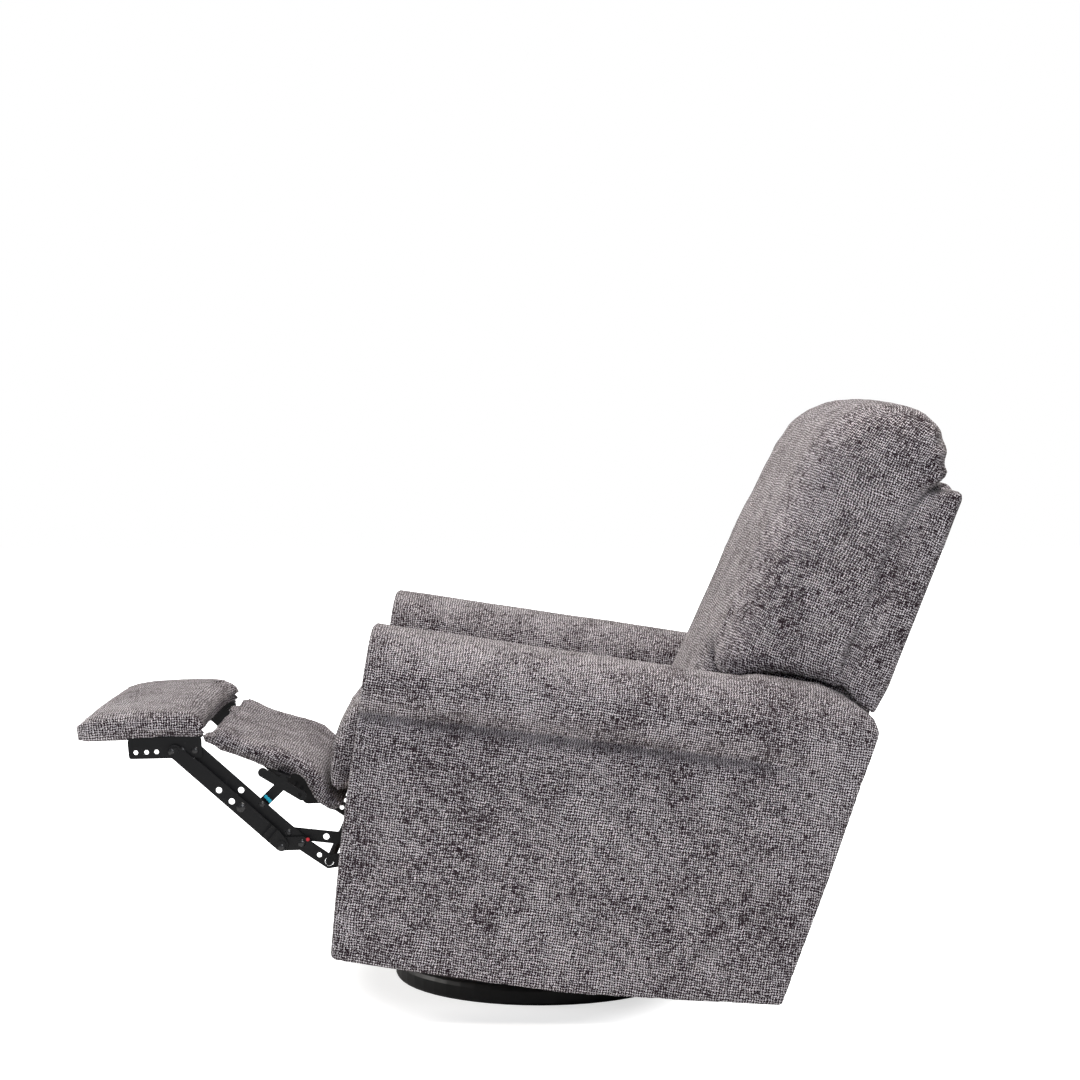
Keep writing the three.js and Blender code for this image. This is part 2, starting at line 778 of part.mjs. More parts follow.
function backFrame() {
  const behind = (chain) => chain.slice(0, seamJoinCount).map((p) => point(p.x + 2 * fit, p.y));
  const corner = point(seam[7].x + backFrameThickness / 5, seam[7].y + backFrameThickness / 4.6);
  const front = [
    lobePoint(-98), lobePoint(-128).lerp(point(reclineX, reclineZ), 0.25),
    point(reclineX - backFrameThickness / 4, reclineZ),
    ...behind(seam),
    corner,
  ];
  const rearSlope = (backFrameRearTop - backFrameRearFoot) / (backFrameTopZ - backFrameRearFootZ);
  const rearLine = (z) => point(backFrameRearFoot + (z - backFrameRearFootZ) * rearSlope, z);
  const rear = [lobePoint(-72), lobePoint(-50), lobePoint(-30), lobePoint(-10), lobePoint(8)];
  const rearShares = [0.05, 0.28, 0.5, 0.75, 0.92, 1];
  const lowZ = reclineZ + backLobeRadius / 2;
  rear.push(...rearShares.map((share) => rearLine(THREE.MathUtils.lerp(lowZ, backFrameTopZ, share))));
  rear.push(point(backFrameRearTop - backFrameThickness / 4, backFrameTopZ + backFrameThickness / 6));
  const wingRadius = armRearRadius + backRunningGap;
  const wingToe = point(chainX(seam, wingFoot) + 2 * fit, wingFoot - backRunningGap / 2);
  wingToe.y = reclineZ + Math.sqrt(wingRadius ** 2 - (wingToe.x - reclineX) ** 2);
  const wingHeel = point(chainX(seam, wingFoot) + 2 * fit, wingFoot);
  const wingFront = [0, 0.35, 0.7].map((share) => wingToe.clone().lerp(wingHeel, share));
  wingFront.push(...behind(wingSeam), corner);
  const rings = mirroredStations().map(({ kind, y }) => {
    if (kind === 'core') return flatRing(y, front, rear);
    const inset = roundInset(backHalfWidth - Math.abs(y), backFrameThickness / 5);
    const wingRear = lifted(rear, backFrameRearFootZ, backFrameTopZ - backFrameThickness);
    const lipZ = backFrameTopZ + backFrameLipRise - inset / 2;
    const drawn = wingRear.map((p) => point(p.x - inset, Math.min(p.y, lipZ)));
    return flatRing(y, wingFront, drawn);
  });
  return loft(rings);
}
add(body, 'back_frame', backFrame(), fabric);

// Recline brackets: from the pivot up along the sides of the back's core
const reclinePivot = point(reclineX, reclineZ);
const reclineInner = backCoreHalfWidth + 2 * fit;
for (const [name, side] of sides) {
  const knee = point(reclineX + reclineBracketFoot * 1.7, reclineZ + reclineBracketFoot * 1.7);
  const top = point(reclineX + reclineBracketReach * 0.66, reclineZ + reclineBracketReach);
  const outline = barShape([reclinePivot, knee, top], reclineBracketWidth / 2);
  [0.3, 0.85].forEach((share) => hole(outline, reclinePivot.clone().lerp(top, share), lightHole));
  const bracket = join(
    plate(outline, side, reclineInner, steel),
    outerStud(reclinePivot, side, reclineInner + steel / 2, plateInner + steel),
  );
  add(body, `recline_bracket_${name}`, bracket, blackSteel);
}

// Side plates that carry the footrest linkage and the back
const crankPivot = point(crankPivotX, crankPivotZ);
const controlPivot = point(controlPivotX, controlPivotZ);
const plateBolts = [0.2, 0.52, 0.8].map((share) => point(
  THREE.MathUtils.lerp(plateFront, reclineX, share), (plateFoot + plateTop) / 2,
));

function sidePlateShape() {
  const rearX = reclineX + reclineEarRadius;
  const outline = roundedShape([
    point(plateFront, plateFoot + 2 * plateCorner), point(plateFront + 2 * plateCorner, plateFoot),
    point(reclineX - 2 * reclineEarRadius, plateFoot), point(rearX, reclineZ - reclineEarRadius),
    point(rearX, reclineZ + reclineEarRadius),
    point(reclineX - reclineEarRadius, reclineZ + reclineEarRadius),
    point(reclineX - 4 * reclineEarRadius, plateTop), point(plateFront, plateTop),
  ], plateCorner);
  hole(outline, reclinePivot, pinHole);
  const slots = [0.36, 0.66].map((share) => THREE.MathUtils.lerp(plateFront, reclineX, share));
  slots.forEach((x) => hole(outline, point(x, (plateFoot + plateTop) / 2), plateSlotRadius));
  return outline;
}

for (const [name, side] of sides) {
  let sidePlate = plate(sidePlateShape(), side, plateInner, steel, 4);
  const bores = [frontTubeX, rearTubeX].map((x) => crossRod(
    point(x, crossTubeZ), crossTubeRadius + fit, -armInner, armInner,
  ));
  if (side > 0) bores.push(crossRod(handleCenter, handleShaftRadius + fit, 0, armInner));
  sidePlate = cut(sidePlate, ...bores);
  const studs = [
    stud(crankPivot, side, crankInner, plateInner + steel / 2),
    stud(controlPivot, side, controlInner, plateInner + steel / 2),
    ...plateBolts.map((p) => spacer(p, side, plateInner + steel / 2, armInner - fit)),
  ];
  add(body, `mechanism_plate_${name}`, join(sidePlate, ...studs), blackSteel);
}
const tubeEnd = plateInner + steel + tubeStandProud;
for (const [name, x] of [['front', frontTubeX], ['rear', rearTubeX]]) {
  const tube = crossRod(point(x, crossTubeZ), crossTubeRadius, -tubeEnd, tubeEnd);
  add(body, `${name}_cross_tube`, tube, blackSteel);
}

// Footrest linkage on each side: crank, lift link, tie link and control link
const slope = THREE.MathUtils.degToRad(footrestSlope);
const alongPad = point(Math.cos(slope), Math.sin(slope));
const liftPivot = point(liftPivotX, liftPivotZ);
const tiePivot = liftPivot.clone().addScaledVector(alongPad, -pairSpacing);
const bracketPivot = point(bracketPivotX, bracketPivotZ);
const tieEnd = bracketPivot.clone().addScaledVector(alongPad, -pairSpacing);
const controlEnd = point(controlEndX, controlEndZ);
const liftDirection = bracketPivot.clone().sub(liftPivot).normalize();
const liftNormal = point(-liftDirection.y, liftDirection.x);
const carrierPivot = liftPivot.clone().addScaledVector(liftDirection, carrierReach)
  .addScaledVector(liftNormal, carrierDrop);
const stretcher = point(crankBendX, crankBendZ);

function crankShape() {
  const outline = barShape([tiePivot, liftPivot, stretcher, crankPivot], linkHalfWidth);
  hole(outline, crankPivot, pinHole);
  hole(outline, liftPivot.clone().lerp(stretcher, 0.64), lightHole * 0.8);
  hole(outline, stretcher, boreFor(stretcherRadius));
  return outline;
}

function liftShape() {
  const heel = liftPivot.clone().addScaledVector(liftDirection, carrierReach * 0.55)
    .addScaledVector(liftNormal, carrierDrop);
  const outline = barShape([liftPivot, heel, bracketPivot], linkHalfWidth);
  [liftPivot, bracketPivot].forEach((p) => hole(outline, p, pinHole));
  hole(outline, heel.clone().lerp(bracketPivot, 0.45), lightHole);
  return outline;
}

function tieShape() {
  const outline = barShape([tiePivot, tieEnd], linkHalfWidth);
  [tiePivot, tieEnd].forEach((p) => hole(outline, p, pinHole));
  [0.465, 0.585].forEach((share) => hole(outline, tiePivot.clone().lerp(tieEnd, share), lightHole));
  return outline;
}

function controlShape() {
  const bend = point(controlBendX, controlBendZ);
  const outline = barShape([controlEnd, bend, controlPivot], linkHalfWidth * 0.9);
  hole(outline, controlPivot, pinHole);
  hole(outline, controlEnd.clone().lerp(bend, 0.78), lightHole);
  return outline;
}

for (const [name, side] of sides) {
  const crank = join(
    plate(crankShape(), side, crankInner, steel),
    stud(liftPivot, side, liftInner, crankInner + steel / 2),
    outerStud(tiePivot, side, crankInner + steel / 2, tieInner + steel),
  );
  add(body, `footrest_crank_${name}`, crank, blackSteel);
  add(body, `lift_link_${name}`, plate(liftShape(), side, liftInner, steel), blackSteel);
  add(body, `tie_link_${name}`, plate(tieShape(), side, tieInner, steel), blackSteel);
  const control = join(
    plate(controlShape(), side, controlInner, steel),
    stud(controlEnd, side, controlInner + fit, controlInner + steel / 2),
  );
  add(body, `control_link_${name}`, control, blackSteel);
}
const stretcherEnd = crankInner + steel;
const stretcherRod = crossRod(stretcher, stretcherRadius, -stretcherEnd, stretcherEnd);
add(body, 'footrest_stretcher', stretcherRod, blackSteel);

// Footrest: brackets under a board with the foot pad on top, drawn level and turned to its slope
const bracketShape = () => {
  const toe = bracketHeel - bracketLength;
  const outline = roundedShape([
    point(toe, boardLift - steel - fit), point(toe + bracketDepth / 6, -bracketDepth * 0.85),
    point(-bracketDepth, -bracketDepth), point(bracketHeel, -bracketDepth),
    point(bracketHeel, boardLift - steel - fit),
  ], bracketDepth / 3);
  [0.57, 0.72, 0.88].forEach((share) => hole(outline, point(toe * share, 0), lightHole * 0.8));
  return outline;
};

function ontoFootrest(geometry) {
  return geometry.rotateY(-slope).translate(bracketPivot.x, 0, bracketPivot.y);
}

function footrestBracket(side) {
  const toe = bracketHeel - bracketLength;
  const upright = plate(bracketShape(), side, crankInner, steel, 3);
  const y0 = side > 0 ? crankInner + steel - flangeWidth : -crankInner - steel;
  const flangeTop = boardLift - fit;
  const flange = block(toe, bracketHeel, y0, y0 + flangeWidth, flangeTop - steel - fit, flangeTop);
  return ontoFootrest(join(
    upright, flange,
    stud(point(0, 0), side, liftInner, crankInner + steel / 2),
    outerStud(point(-pairSpacing, 0), side, crankInner + steel / 2, tieInner + steel),
  ));
}
for (const [name, side] of sides) {
  add(body, `footrest_bracket_${name}`, footrestBracket(side), blackSteel);
}

const footPadToe = footPadHeel - footPadLength;
const boardInset = footPadRound / 3;
const boardHalf = footPadHalfWidth - boardInset;
add(body, 'footrest_board', ontoFootrest(block(
  footPadToe + boardInset, footPadHeel - boardInset, -boardHalf, boardHalf,
  boardLift, boardLift + footBoardThickness,
)), timber);

// Foot pad: shares of its length and of its thickness
const padTopShares = [
  [0, 0.08], [0.022, 0.35], [0.085, 0.68], [0.18, 0.9], [0.31, 1], [0.55, 1.06], [0.8, 1.02],
  [0.925, 0.9], [0.982, 0.68], [1, 0.35], [0.988, 0.08],
];
const padFootShares = [
  [0.03, 0], [0.05, 0], [0.08, 0], [0.14, 0], [0.25, 0], [0.5, 0], [0.75, 0], [0.86, 0], [0.92, 0],
  [0.95, 0], [0.97, 0],
];

function footPad() {
  const base = boardLift + footBoardThickness + fit;
  const middle = point(footPadToe + footPadLength / 2, base);
  const rings = widthShares.map((share) => {
    const inset = roundInset((1 - Math.abs(share)) * footPadHalfWidth, footPadRound);
    const crown = footPadCrown * (1 - share * share);
    const place = (lift) => ([alongShare, upShare]) => {
      const x = footPadToe + alongShare * footPadLength;
      const z = base + upShare * (footPadThickness - footPadCrown + lift - inset * 0.8);
      return point(middle.x + (x - middle.x) * (1 - inset / (footPadLength / 2)), z);
    };
    return flatRing(share * footPadHalfWidth, padTopShares.map(place(crown)), padFootShares.map(place(0)));
  });
  return ontoFootrest(loft(rings));
}
add(body, 'foot_pad', footPad(), fabric);

// Inner panel between seat and foot pad, on a board that the lift links carry
const innerTopShares = [
  [0.002, 0.88], [0.03, 0.97], [0.11, 1], [0.3, 0.955], [0.52, 0.885], [0.66, 0.82],
  [0.76, 0.7], [0.82, 0.5], [0.865, 0.3], [0.93, 0.18], [0.985, 0.12],
];
const innerFootShares = [
  [0.004, 0.84], [0.04, 0.83], [0.11, 0.81], [0.3, 0.74], [0.52, 0.655], [0.62, 0.6],
  [0.69, 0.49], [0.75, 0.33], [0.82, 0.13], [0.9, 0.03], [0.98, 0],
];

function innerPanel() {
  const length = innerPanelRear - innerPanelFront;
  const height = innerPanelTop - innerPanelFoot;
  const rings = widthShares.map((share) => {
    const inset = roundInset((1 - Math.abs(share)) * innerPanelHalfWidth, innerPanelRound);
    const place = (sign) => ([alongShare, upShare]) => point(
      innerPanelFront + alongShare * length, innerPanelFoot + upShare * height + sign * inset / 3,
    );
    const top = innerTopShares.map(place(-1));
    return flatRing(share * innerPanelHalfWidth, top, innerFootShares.map(place(1)));
  });
  return loft(rings);
}
add(body, 'inner_panel', innerPanel(), fabric);

const innerSlope = Math.atan2(innerBoardFrontZ - innerBoardRearZ, innerBoardRear - innerBoardFront);
const innerBoardLength = (innerBoardRear - innerBoardFront) / Math.cos(innerSlope);
function ontoInnerBoard(geometry) {
  return geometry.rotateY(innerSlope).translate(innerBoardFront, 0, innerBoardFrontZ);
}
const innerBoardHalf = innerPanelHalfWidth - innerPanelRound;
add(body, 'inner_board', ontoInnerBoard(block(
  0, innerBoardLength, -innerBoardHalf, innerBoardHalf, -innerBoardThickness, 0,
)), timber);

function innerBracket(side) {
  const barFront = point(panelBarFrontX, panelBarFrontZ);
  const barRear = point(panelBarRearX, panelBarRearZ);
  const knee = barFront.clone().lerp(barRear, 0.5);
  const share = (knee.x - innerBoardFront) / (innerBoardRear - innerBoardFront);
  const head = point(knee.x, THREE.MathUtils.lerp(innerBoardFrontZ, innerBoardRearZ, share)
    - innerBoardThickness - steel - panelBarHalfWidth);
  const bar = barShape([barFront, barRear], panelBarHalfWidth);
  hole(bar, barFront.clone().lerp(barRear, 0.95), pinRadius);
  const flat = (outline) => plate(outline, side, panelBracketInner, steel);
  const post = crossRod(point(0, 0), carrierSpacerRadius, panelBracketInner + steel / 2, liftInner - fit);
  if (side < 0) post.rotateX(Math.PI);
  post.translate(carrierPivot.x, 0, carrierPivot.y);
  const halfFlange = flangeWidth / 2;
  const middleX = share * innerBoardLength;
  const yInner = panelBracketInner + steel - flangeWidth;
  const flange = ontoInnerBoard(block(
    middleX - halfFlange, middleX + halfFlange,
    side > 0 ? yInner : -panelBracketInner - steel, side > 0 ? yInner + flangeWidth : -yInner,
    -innerBoardThickness - fit - steel, -innerBoardThickness - fit,
  ));
  const arm = barShape([carrierPivot, knee], linkHalfWidth * 0.8);
  const neck = barShape([knee, head], panelBarHalfWidth);
  return join(flat(bar), flat(arm), flat(neck), post, flange);
}
for (const [name, side] of sides) add(body, `inner_bracket_${name}`, innerBracket(side), blackSteel);

// Glider: pivots of the hanging links in the upright frame
const frontTop = point(-glidePivotSpread, glidePivotHeight);
const rearTop = point(glidePivotSpread, glidePivotHeight);
function hang(top, leanDegrees) {
  const lean = THREE.MathUtils.degToRad(leanDegrees);
  return top.clone().add(point(Math.sin(lean), -Math.cos(lean)).multiplyScalar(glideLinkLength));
}
const frontLow = hang(frontTop, frontLinkLean);
const rearLow = hang(rearTop, rearLinkLean);
function intoBody(p) {
  return point(p.x * Math.cos(tilt) - p.y * Math.sin(tilt), p.x * Math.sin(tilt) + p.y * Math.cos(tilt));
}
const carriageFront = intoBody(frontLow);
const carriageRear = intoBody(rearLow);

// A link with its own shoulder bolts: the upper one reaches in through the bracket, the lower one out
// through the carriage plate
function glideLink(side, top, low) {
  const outline = barShape([top, low], glideLinkHalfWidth);
  hole(outline, top.clone().lerp(low, 0.5), lightHole);
  const middle = glideLinkInner + glideSteel / 2;
  return join(
    plate(outline, side, glideLinkInner, glideSteel),
    stud(top, side, glideBracketInner, middle, glideBoltSizes),
    outerStud(low, side, middle, carriageInner + glideSteel, glideBoltSizes),
  );
}
for (const [name, side] of sides) {
  add(chair, `front_glide_link_${name}`, glideLink(side, frontTop, frontLow), blackSteel);
  add(chair, `rear_glide_link_${name}`, glideLink(side, rearTop, rearLow), blackSteel);
}

// Base: floor ring, spokes, hub, two races and the kingpin
const hubZ = spokeLift + spokeHeight;
const raceZ = hubZ + hubThickness + fit;
const upperRaceZ = raceZ + raceHeight + fit;
const swivelPlateZ = upperRaceZ + raceHeight + fit;
const channelZ = swivelPlateZ + swivelPlateThickness + fit;

function ringOfRevolution(profile, segments) {
  return new THREE.LatheGeometry(profile, segments).rotateX(Math.PI / 2);
}

function floorRing() {
  const inner = ringRadius - ringWidth;
  const c = ringCorner;
  const profile = [
    point(inner + c / 3, 0), point(ringRadius - c / 3, 0), point(ringRadius, c / 2),
    point(ringRadius, ringHeight - c), point(ringRadius - c / 3, ringHeight - c / 3),
    point(ringRadius - c, ringHeight), point(inner + c, ringHeight),
    point(inner + c / 3, ringHeight - c / 3), point(inner, ringHeight - c), point(inner, c / 2),
    point(inner + c / 3, 0),
  ];
  return ringOfRevolution(profile, ringSegments);
}
add(chair, 'base_ring', floorRing(), ringPaint);

// Two crossed flat bars with the hub plate welded on top
function spider() {
  const clearRadius = (ringRadius - ringWidth) * Math.cos(Math.PI / ringSegments) - fit;
  const reach = Math.sqrt(clearRadius ** 2 - (spokeWidth / 2) ** 2);
  const bar = () => block(-reach, reach, -spokeWidth / 2, spokeWidth / 2, spokeLift, spokeLift + spokeHeight);
  const hub = new THREE.CylinderGeometry(hubRadius, hubRadius, hubThickness + fit, 24).rotateX(Math.PI / 2);
  hub.translate(0, 0, hubZ + hubThickness / 2 - fit / 2);
  const boreRadius = boreFor(kingpinRadius);
  const bore = new THREE.CylinderGeometry(boreRadius, boreRadius, hubZ * 4, roundSides);
  return cut(join(bar(), bar().rotateZ(Math.PI / 2), hub), bore.rotateX(Math.PI / 2));
}
add(chair, 'base_spider', spider(), ringPaint);

function race(z, lipDown) {
  const step = raceHeight / 3;
  const profile = lipDown
    ? [point(raceInner, z + step), point(raceInner + raceLip, z), point(raceOuter - raceLip, z),
      point(raceOuter, z + step), point(raceOuter, z + raceHeight), point(raceInner, z + raceHeight),
      point(raceInner, z + step)]
    : [point(raceInner, z), point(raceOuter, z), point(raceOuter, z + raceHeight - step),
      point(raceOuter - raceLip, z + raceHeight), point(raceInner + raceLip, z + raceHeight),
      point(raceInner, z + raceHeight - step), point(raceInner, z)];
  return ringOfRevolution(profile, 24);
}
add(chair, 'bearing_lower_race', race(raceZ, false), zinc);
add(chair, 'bearing_upper_race', race(upperRaceZ, true), zinc);

function kingpin() {
  const foot = spokeLift - kingpinHeadHeight / 2;
  const top = channelZ + kingpinHeadHeight;
  const plateTopZ = swivelPlateZ + swivelPlateThickness + fit;
  const profile = [
    point(0, foot), point(kingpinRadius * 1.4, foot), point(kingpinRadius * 1.4, spokeLift - fit),
    point(kingpinRadius, spokeLift - fit), point(kingpinRadius, plateTopZ),
    point(kingpinHeadRadius, plateTopZ), point(kingpinHeadRadius, top), point(0, top),
  ];
  return ringOfRevolution(profile, roundSides);
}
add(chair, 'kingpin', kingpin(), zinc);

function swivelPlate() {
  const half = glideBracketInner - fit;
  const outline = roundedShape([
    point(-swivelPlateHalfX, -half), point(swivelPlateHalfX, -half),
    point(swivelPlateHalfX, half), point(-swivelPlateHalfX, half),
  ], swivelPlateHalfX / 5);
  hole(outline, point(0, 0), boreFor(kingpinRadius));
  const slab = new THREE.ExtrudeGeometry(outline, {
    depth: swivelPlateThickness, bevelEnabled: false, curveSegments: 6,
  });
  return slab.translate(0, 0, swivelPlateZ);
}
add(chair, 'swivel_plate', swivelPlate(), blackSteel);

// Channels across the swivel plate and the brackets that hold the links' upper pivots
function crossChannel(x) {
  const half = glideBracketInner - fit;
  const wall = glideSteel;
  const outer = block(
    x - channelDepth / 2, x + channelDepth / 2, -half, half, channelZ, channelZ + channelHeight,
  );
  const inside = block(
    x - channelDepth / 2 + wall, x + channelDepth / 2 - wall, -half - overrun, half + overrun,
    channelZ - overrun, channelZ + channelHeight - wall,
  );
  return cut(outer, inside);
}
add(chair, 'front_channel', crossChannel(-channelX), blackSteel);
add(chair, 'rear_channel', crossChannel(channelX), blackSteel);

function glideBracketShape() {
  const ear = bracketEar;
  const outline = roundedShape([
    point(-bracketFootSpread, swivelPlateZ), point(bracketFootSpread, swivelPlateZ),
    point(glidePivotSpread + ear, glidePivotHeight - ear),
    point(glidePivotSpread + ear, glidePivotHeight + ear),
    point(glidePivotSpread - ear, glidePivotHeight + ear),
    point(glidePivotSpread - 3 * ear, glidePivotHeight - ear),
    point(-glidePivotSpread + 3 * ear, glidePivotHeight - ear),
    point(-glidePivotSpread + ear, glidePivotHeight + ear),
    point(-glidePivotSpread - ear, glidePivotHeight + ear),
    point(-glidePivotSpread - ear, glidePivotHeight - ear),
  ], ear * 0.6);
  const middleZ = (swivelPlateZ + glidePivotHeight) / 2;
  [-0.38, 0, 0.38].forEach((share) => hole(outline, point(share * glidePivotSpread, middleZ), bracketEar));
  [frontTop, rearTop].forEach((p) => hole(outline, p, boreFor(glideBoltRadius)));
  return outline;
}
for (const [name, side] of sides) {
  const bracket = plate(glideBracketShape(), side, glideBracketInner, glideSteel, 4);
  add(chair, `glide_bracket_${name}`, bracket, blackSteel);
}

// Carriage: side plates that hang from the cross tubes. The rear links' holes have more play.
function carriageShape() {
  const ear = bracketEar;
  const top = crossTubeZ + crossTubeRadius + ear / 2;
  const outline = roundedShape([
    point(carriageFront.x - ear, carriageFront.y - ear), point(carriageFront.x + ear, carriageFront.y - ear),
    point(carriageRear.x - ear, carriageRear.y - ear), point(carriageRear.x + ear, carriageRear.y - ear),
    point(carriageRear.x + ear, carriageRear.y + ear), point(rearTubeX + 2 * ear, crossTubeZ - ear),
    point(rearTubeX + 2 * ear, top), point(frontTubeX - 2 * ear, top),
    point(frontTubeX - 2 * ear, crossTubeZ - ear), point(carriageFront.x - ear, carriageFront.y + ear),
  ], ear * 0.6);
  [frontTubeX, rearTubeX].forEach((x) => hole(outline, point(x, crossTubeZ), boreFor(crossTubeRadius)));
  const middle = (carriageFront.y + crossTubeZ) / 2;
  [0.3, 0.7].forEach((share) => hole(
    outline, point(THREE.MathUtils.lerp(carriageFront.x, carriageRear.x, share), middle), 2 * ear,
  ));
  hole(outline, carriageFront, boreFor(glideBoltRadius));
  hole(outline, carriageRear, boreFor(glideBoltRadius) + rearBoltPlay);
  return outline;
}
for (const [name, side] of sides) {
  const carriage = plate(carriageShape(), side, carriageInner, glideSteel, 5);
  add(body, `carriage_plate_${name}`, carriage, blackSteel);
}

// The origin is the middle of the whole chair's footprint, on the floor
chair.updateMatrixWorld(true);
const box = new THREE.Box3().setFromObject(chair, true);
const center = box.getCenter(new THREE.Vector3());
chair.position.set(-center.x, -center.y, -box.min.z);

export default chair;
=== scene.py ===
"""Upholstery, steel finishes and a plain studio for a swivel glider recliner."""

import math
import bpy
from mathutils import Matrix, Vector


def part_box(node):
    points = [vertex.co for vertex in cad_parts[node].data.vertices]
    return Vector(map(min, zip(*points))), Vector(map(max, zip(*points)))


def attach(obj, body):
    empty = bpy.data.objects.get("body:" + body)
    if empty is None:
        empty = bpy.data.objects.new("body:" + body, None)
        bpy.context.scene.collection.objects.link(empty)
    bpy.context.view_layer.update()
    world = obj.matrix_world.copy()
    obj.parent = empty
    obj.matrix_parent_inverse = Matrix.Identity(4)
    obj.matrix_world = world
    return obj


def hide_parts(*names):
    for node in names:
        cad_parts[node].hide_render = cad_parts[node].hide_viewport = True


bl_info = {
    "name": "Swivel Glider Recliner",
    "version": (1, 0, 0),
    "blender": (4, 5, 0),
    "location": "3D Viewport > Sidebar > Recliner",
    "description": "Dresses the recliner's frame in padded cloth and finished steel, and lights it",
    "category": "Object",
}

import bmesh
import bpy
import numpy as np
from bpy.props import FloatProperty, FloatVectorProperty, IntProperty, PointerProperty
from mathutils import Matrix, Vector, noise
from mathutils.bvhtree import BVHTree

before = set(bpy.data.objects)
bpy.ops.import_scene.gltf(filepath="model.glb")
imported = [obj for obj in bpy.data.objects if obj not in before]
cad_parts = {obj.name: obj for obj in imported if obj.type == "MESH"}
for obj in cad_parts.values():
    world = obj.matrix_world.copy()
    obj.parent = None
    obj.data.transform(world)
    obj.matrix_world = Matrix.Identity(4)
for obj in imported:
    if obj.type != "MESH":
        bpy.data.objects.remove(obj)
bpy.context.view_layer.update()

MM = 0.001
BODY_LEAN = math.radians(8.3)
BACK_LEAN = math.radians(22.5)
PAD_LEAN = math.radians(-2.1)
PANEL_LEAN = math.radians(27.4)
SIDES = (("left", -1), ("right", 1))


def box_center(node):
    low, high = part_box(node)
    return (low + high) / 2


SWIVEL_X = box_center("base_ring").x

# The body's level frame, in millimetres: the arm, its roll and the back's recline pivot
ARM_FRONT = -372
ARM_LENGTH = 862
ARM_TOP = 614
ROLL_HEIGHT = 148
ROLL_TAPER = 0.13
WING_FOOT = 631
RECLINE_X = 328
RECLINE_Z = 364
RECLINE_CLEAR = 264
SHOULDER_RADIUS = 262
FRAME_FOOT_X = 493
FRAME_FOOT_Z = 596
FRAME_TOP_X = 583
FRAME_TOP_Z = 979
FRAME_CORNER = 34
PANEL_FRONT = -634
PAD_HEEL = -642


# The body's level frame: millimetres in the side view turned back by the body's lean
def to_level(points):
    x = points[:, 0] - SWIVEL_X
    z = points[:, 2]
    level = points.copy()
    level[:, 0] = x * math.cos(BODY_LEAN) - z * math.sin(BODY_LEAN)
    level[:, 2] = x * math.sin(BODY_LEAN) + z * math.cos(BODY_LEAN)
    return level / MM


def from_level(points):
    x = points[:, 0] * MM
    z = points[:, 2] * MM
    placed = points * MM
    placed[:, 0] = x * math.cos(BODY_LEAN) + z * math.sin(BODY_LEAN) + SWIVEL_X
    placed[:, 2] = -x * math.sin(BODY_LEAN) + z * math.cos(BODY_LEAN)
    return placed


def level_point(x, y, z):
    return Vector(from_level(np.array([[x, y, z]], float))[0])


# Settings
class ClothSettings(bpy.types.PropertyGroup):
    yarn: FloatProperty(
        name="Yarn width", description="Width of one chenille yarn",
        default=4.4 * MM, min=0.5 * MM, max=10 * MM, unit="LENGTH", precision=4,
    )
    light_yarn: FloatVectorProperty(
        name="Light yarn", description="Colour of the pale yarn",
        default=(0.85, 0.815, 0.865), size=3, min=0, max=1, subtype="COLOR",
    )
    dark_yarn: FloatVectorProperty(
        name="Dark yarn", description="Colour of the dark yarn",
        default=(0.026, 0.016, 0.022), size=3, min=0, max=1, subtype="COLOR",
    )
    bump: FloatProperty(
        name="Yarn relief", description="Height of the yarns over the cloth",
        default=0.7 * MM, min=0, max=5 * MM, unit="LENGTH", precision=4,
    )


class PaddingSettings(bpy.types.PropertyGroup):
    voxel: FloatProperty(
        name="Skin detail", description="Edge length of the padded skins",
        default=6 * MM, min=3 * MM, max=20 * MM, unit="LENGTH", precision=4,
    )
    pressure: FloatProperty(
        name="Fill pressure", description="Pressure that swells the cushions",
        default=4.0, min=0, max=20,
    )
    swell: FloatProperty(
        name="Largest swell", description="How far the filling may push a cushion's skin out",
        default=24 * MM, min=0, max=60 * MM, unit="LENGTH", precision=4,
    )
    proud: FloatProperty(
        name="Cloth allowance", description="How far the cloth may stand outside the solid it covers",
        default=3 * MM, min=0, max=10 * MM, unit="LENGTH", precision=4,
    )
    sim_frames: IntProperty(
        name="Swell steps", description="Frames that the filling has to swell the cushions",
        default=20, min=1, max=60,
    )


class FinishSettings(bpy.types.PropertyGroup):
    steel: FloatVectorProperty(
        name="Black steel", description="Colour of the painted linkage",
        default=(0.008, 0.0085, 0.010), size=3, min=0, max=1, subtype="COLOR",
    )
    rivet: FloatVectorProperty(
        name="Rivet steel", description="Colour of the rivet heads",
        default=(0.03, 0.031, 0.034), size=3, min=0, max=1, subtype="COLOR",
    )
    ring: FloatVectorProperty(
        name="Base paint", description="Colour of the painted base ring",
        default=(0.008, 0.008, 0.0085), size=3, min=0, max=1, subtype="COLOR",
    )
    zinc: FloatVectorProperty(
        name="Zinc", description="Colour of the plated springs and pins",
        default=(0.42, 0.42, 0.44), size=3, min=0, max=1, subtype="COLOR",
    )
    timber: FloatVectorProperty(
        name="Timber", description="Colour of the plywood and rails",
        default=(0.46, 0.29, 0.14), size=3, min=0, max=1, subtype="COLOR",
    )
    moulding: FloatVectorProperty(
        name="Moulding", description="Colour of the release handle",
        default=(0.012, 0.012, 0.013), size=3, min=0, max=1, subtype="COLOR",
    )
    blue_mark: FloatVectorProperty(
        name="Blue mark", description="Inspection paint on the lift link",
        default=(0.0, 0.42, 0.62), size=3, min=0, max=1, subtype="COLOR",
    )
    red_mark: FloatVectorProperty(
        name="Red mark", description="Inspection paint on the crank",
        default=(0.80, 0.03, 0.05), size=3, min=0, max=1, subtype="COLOR",
    )


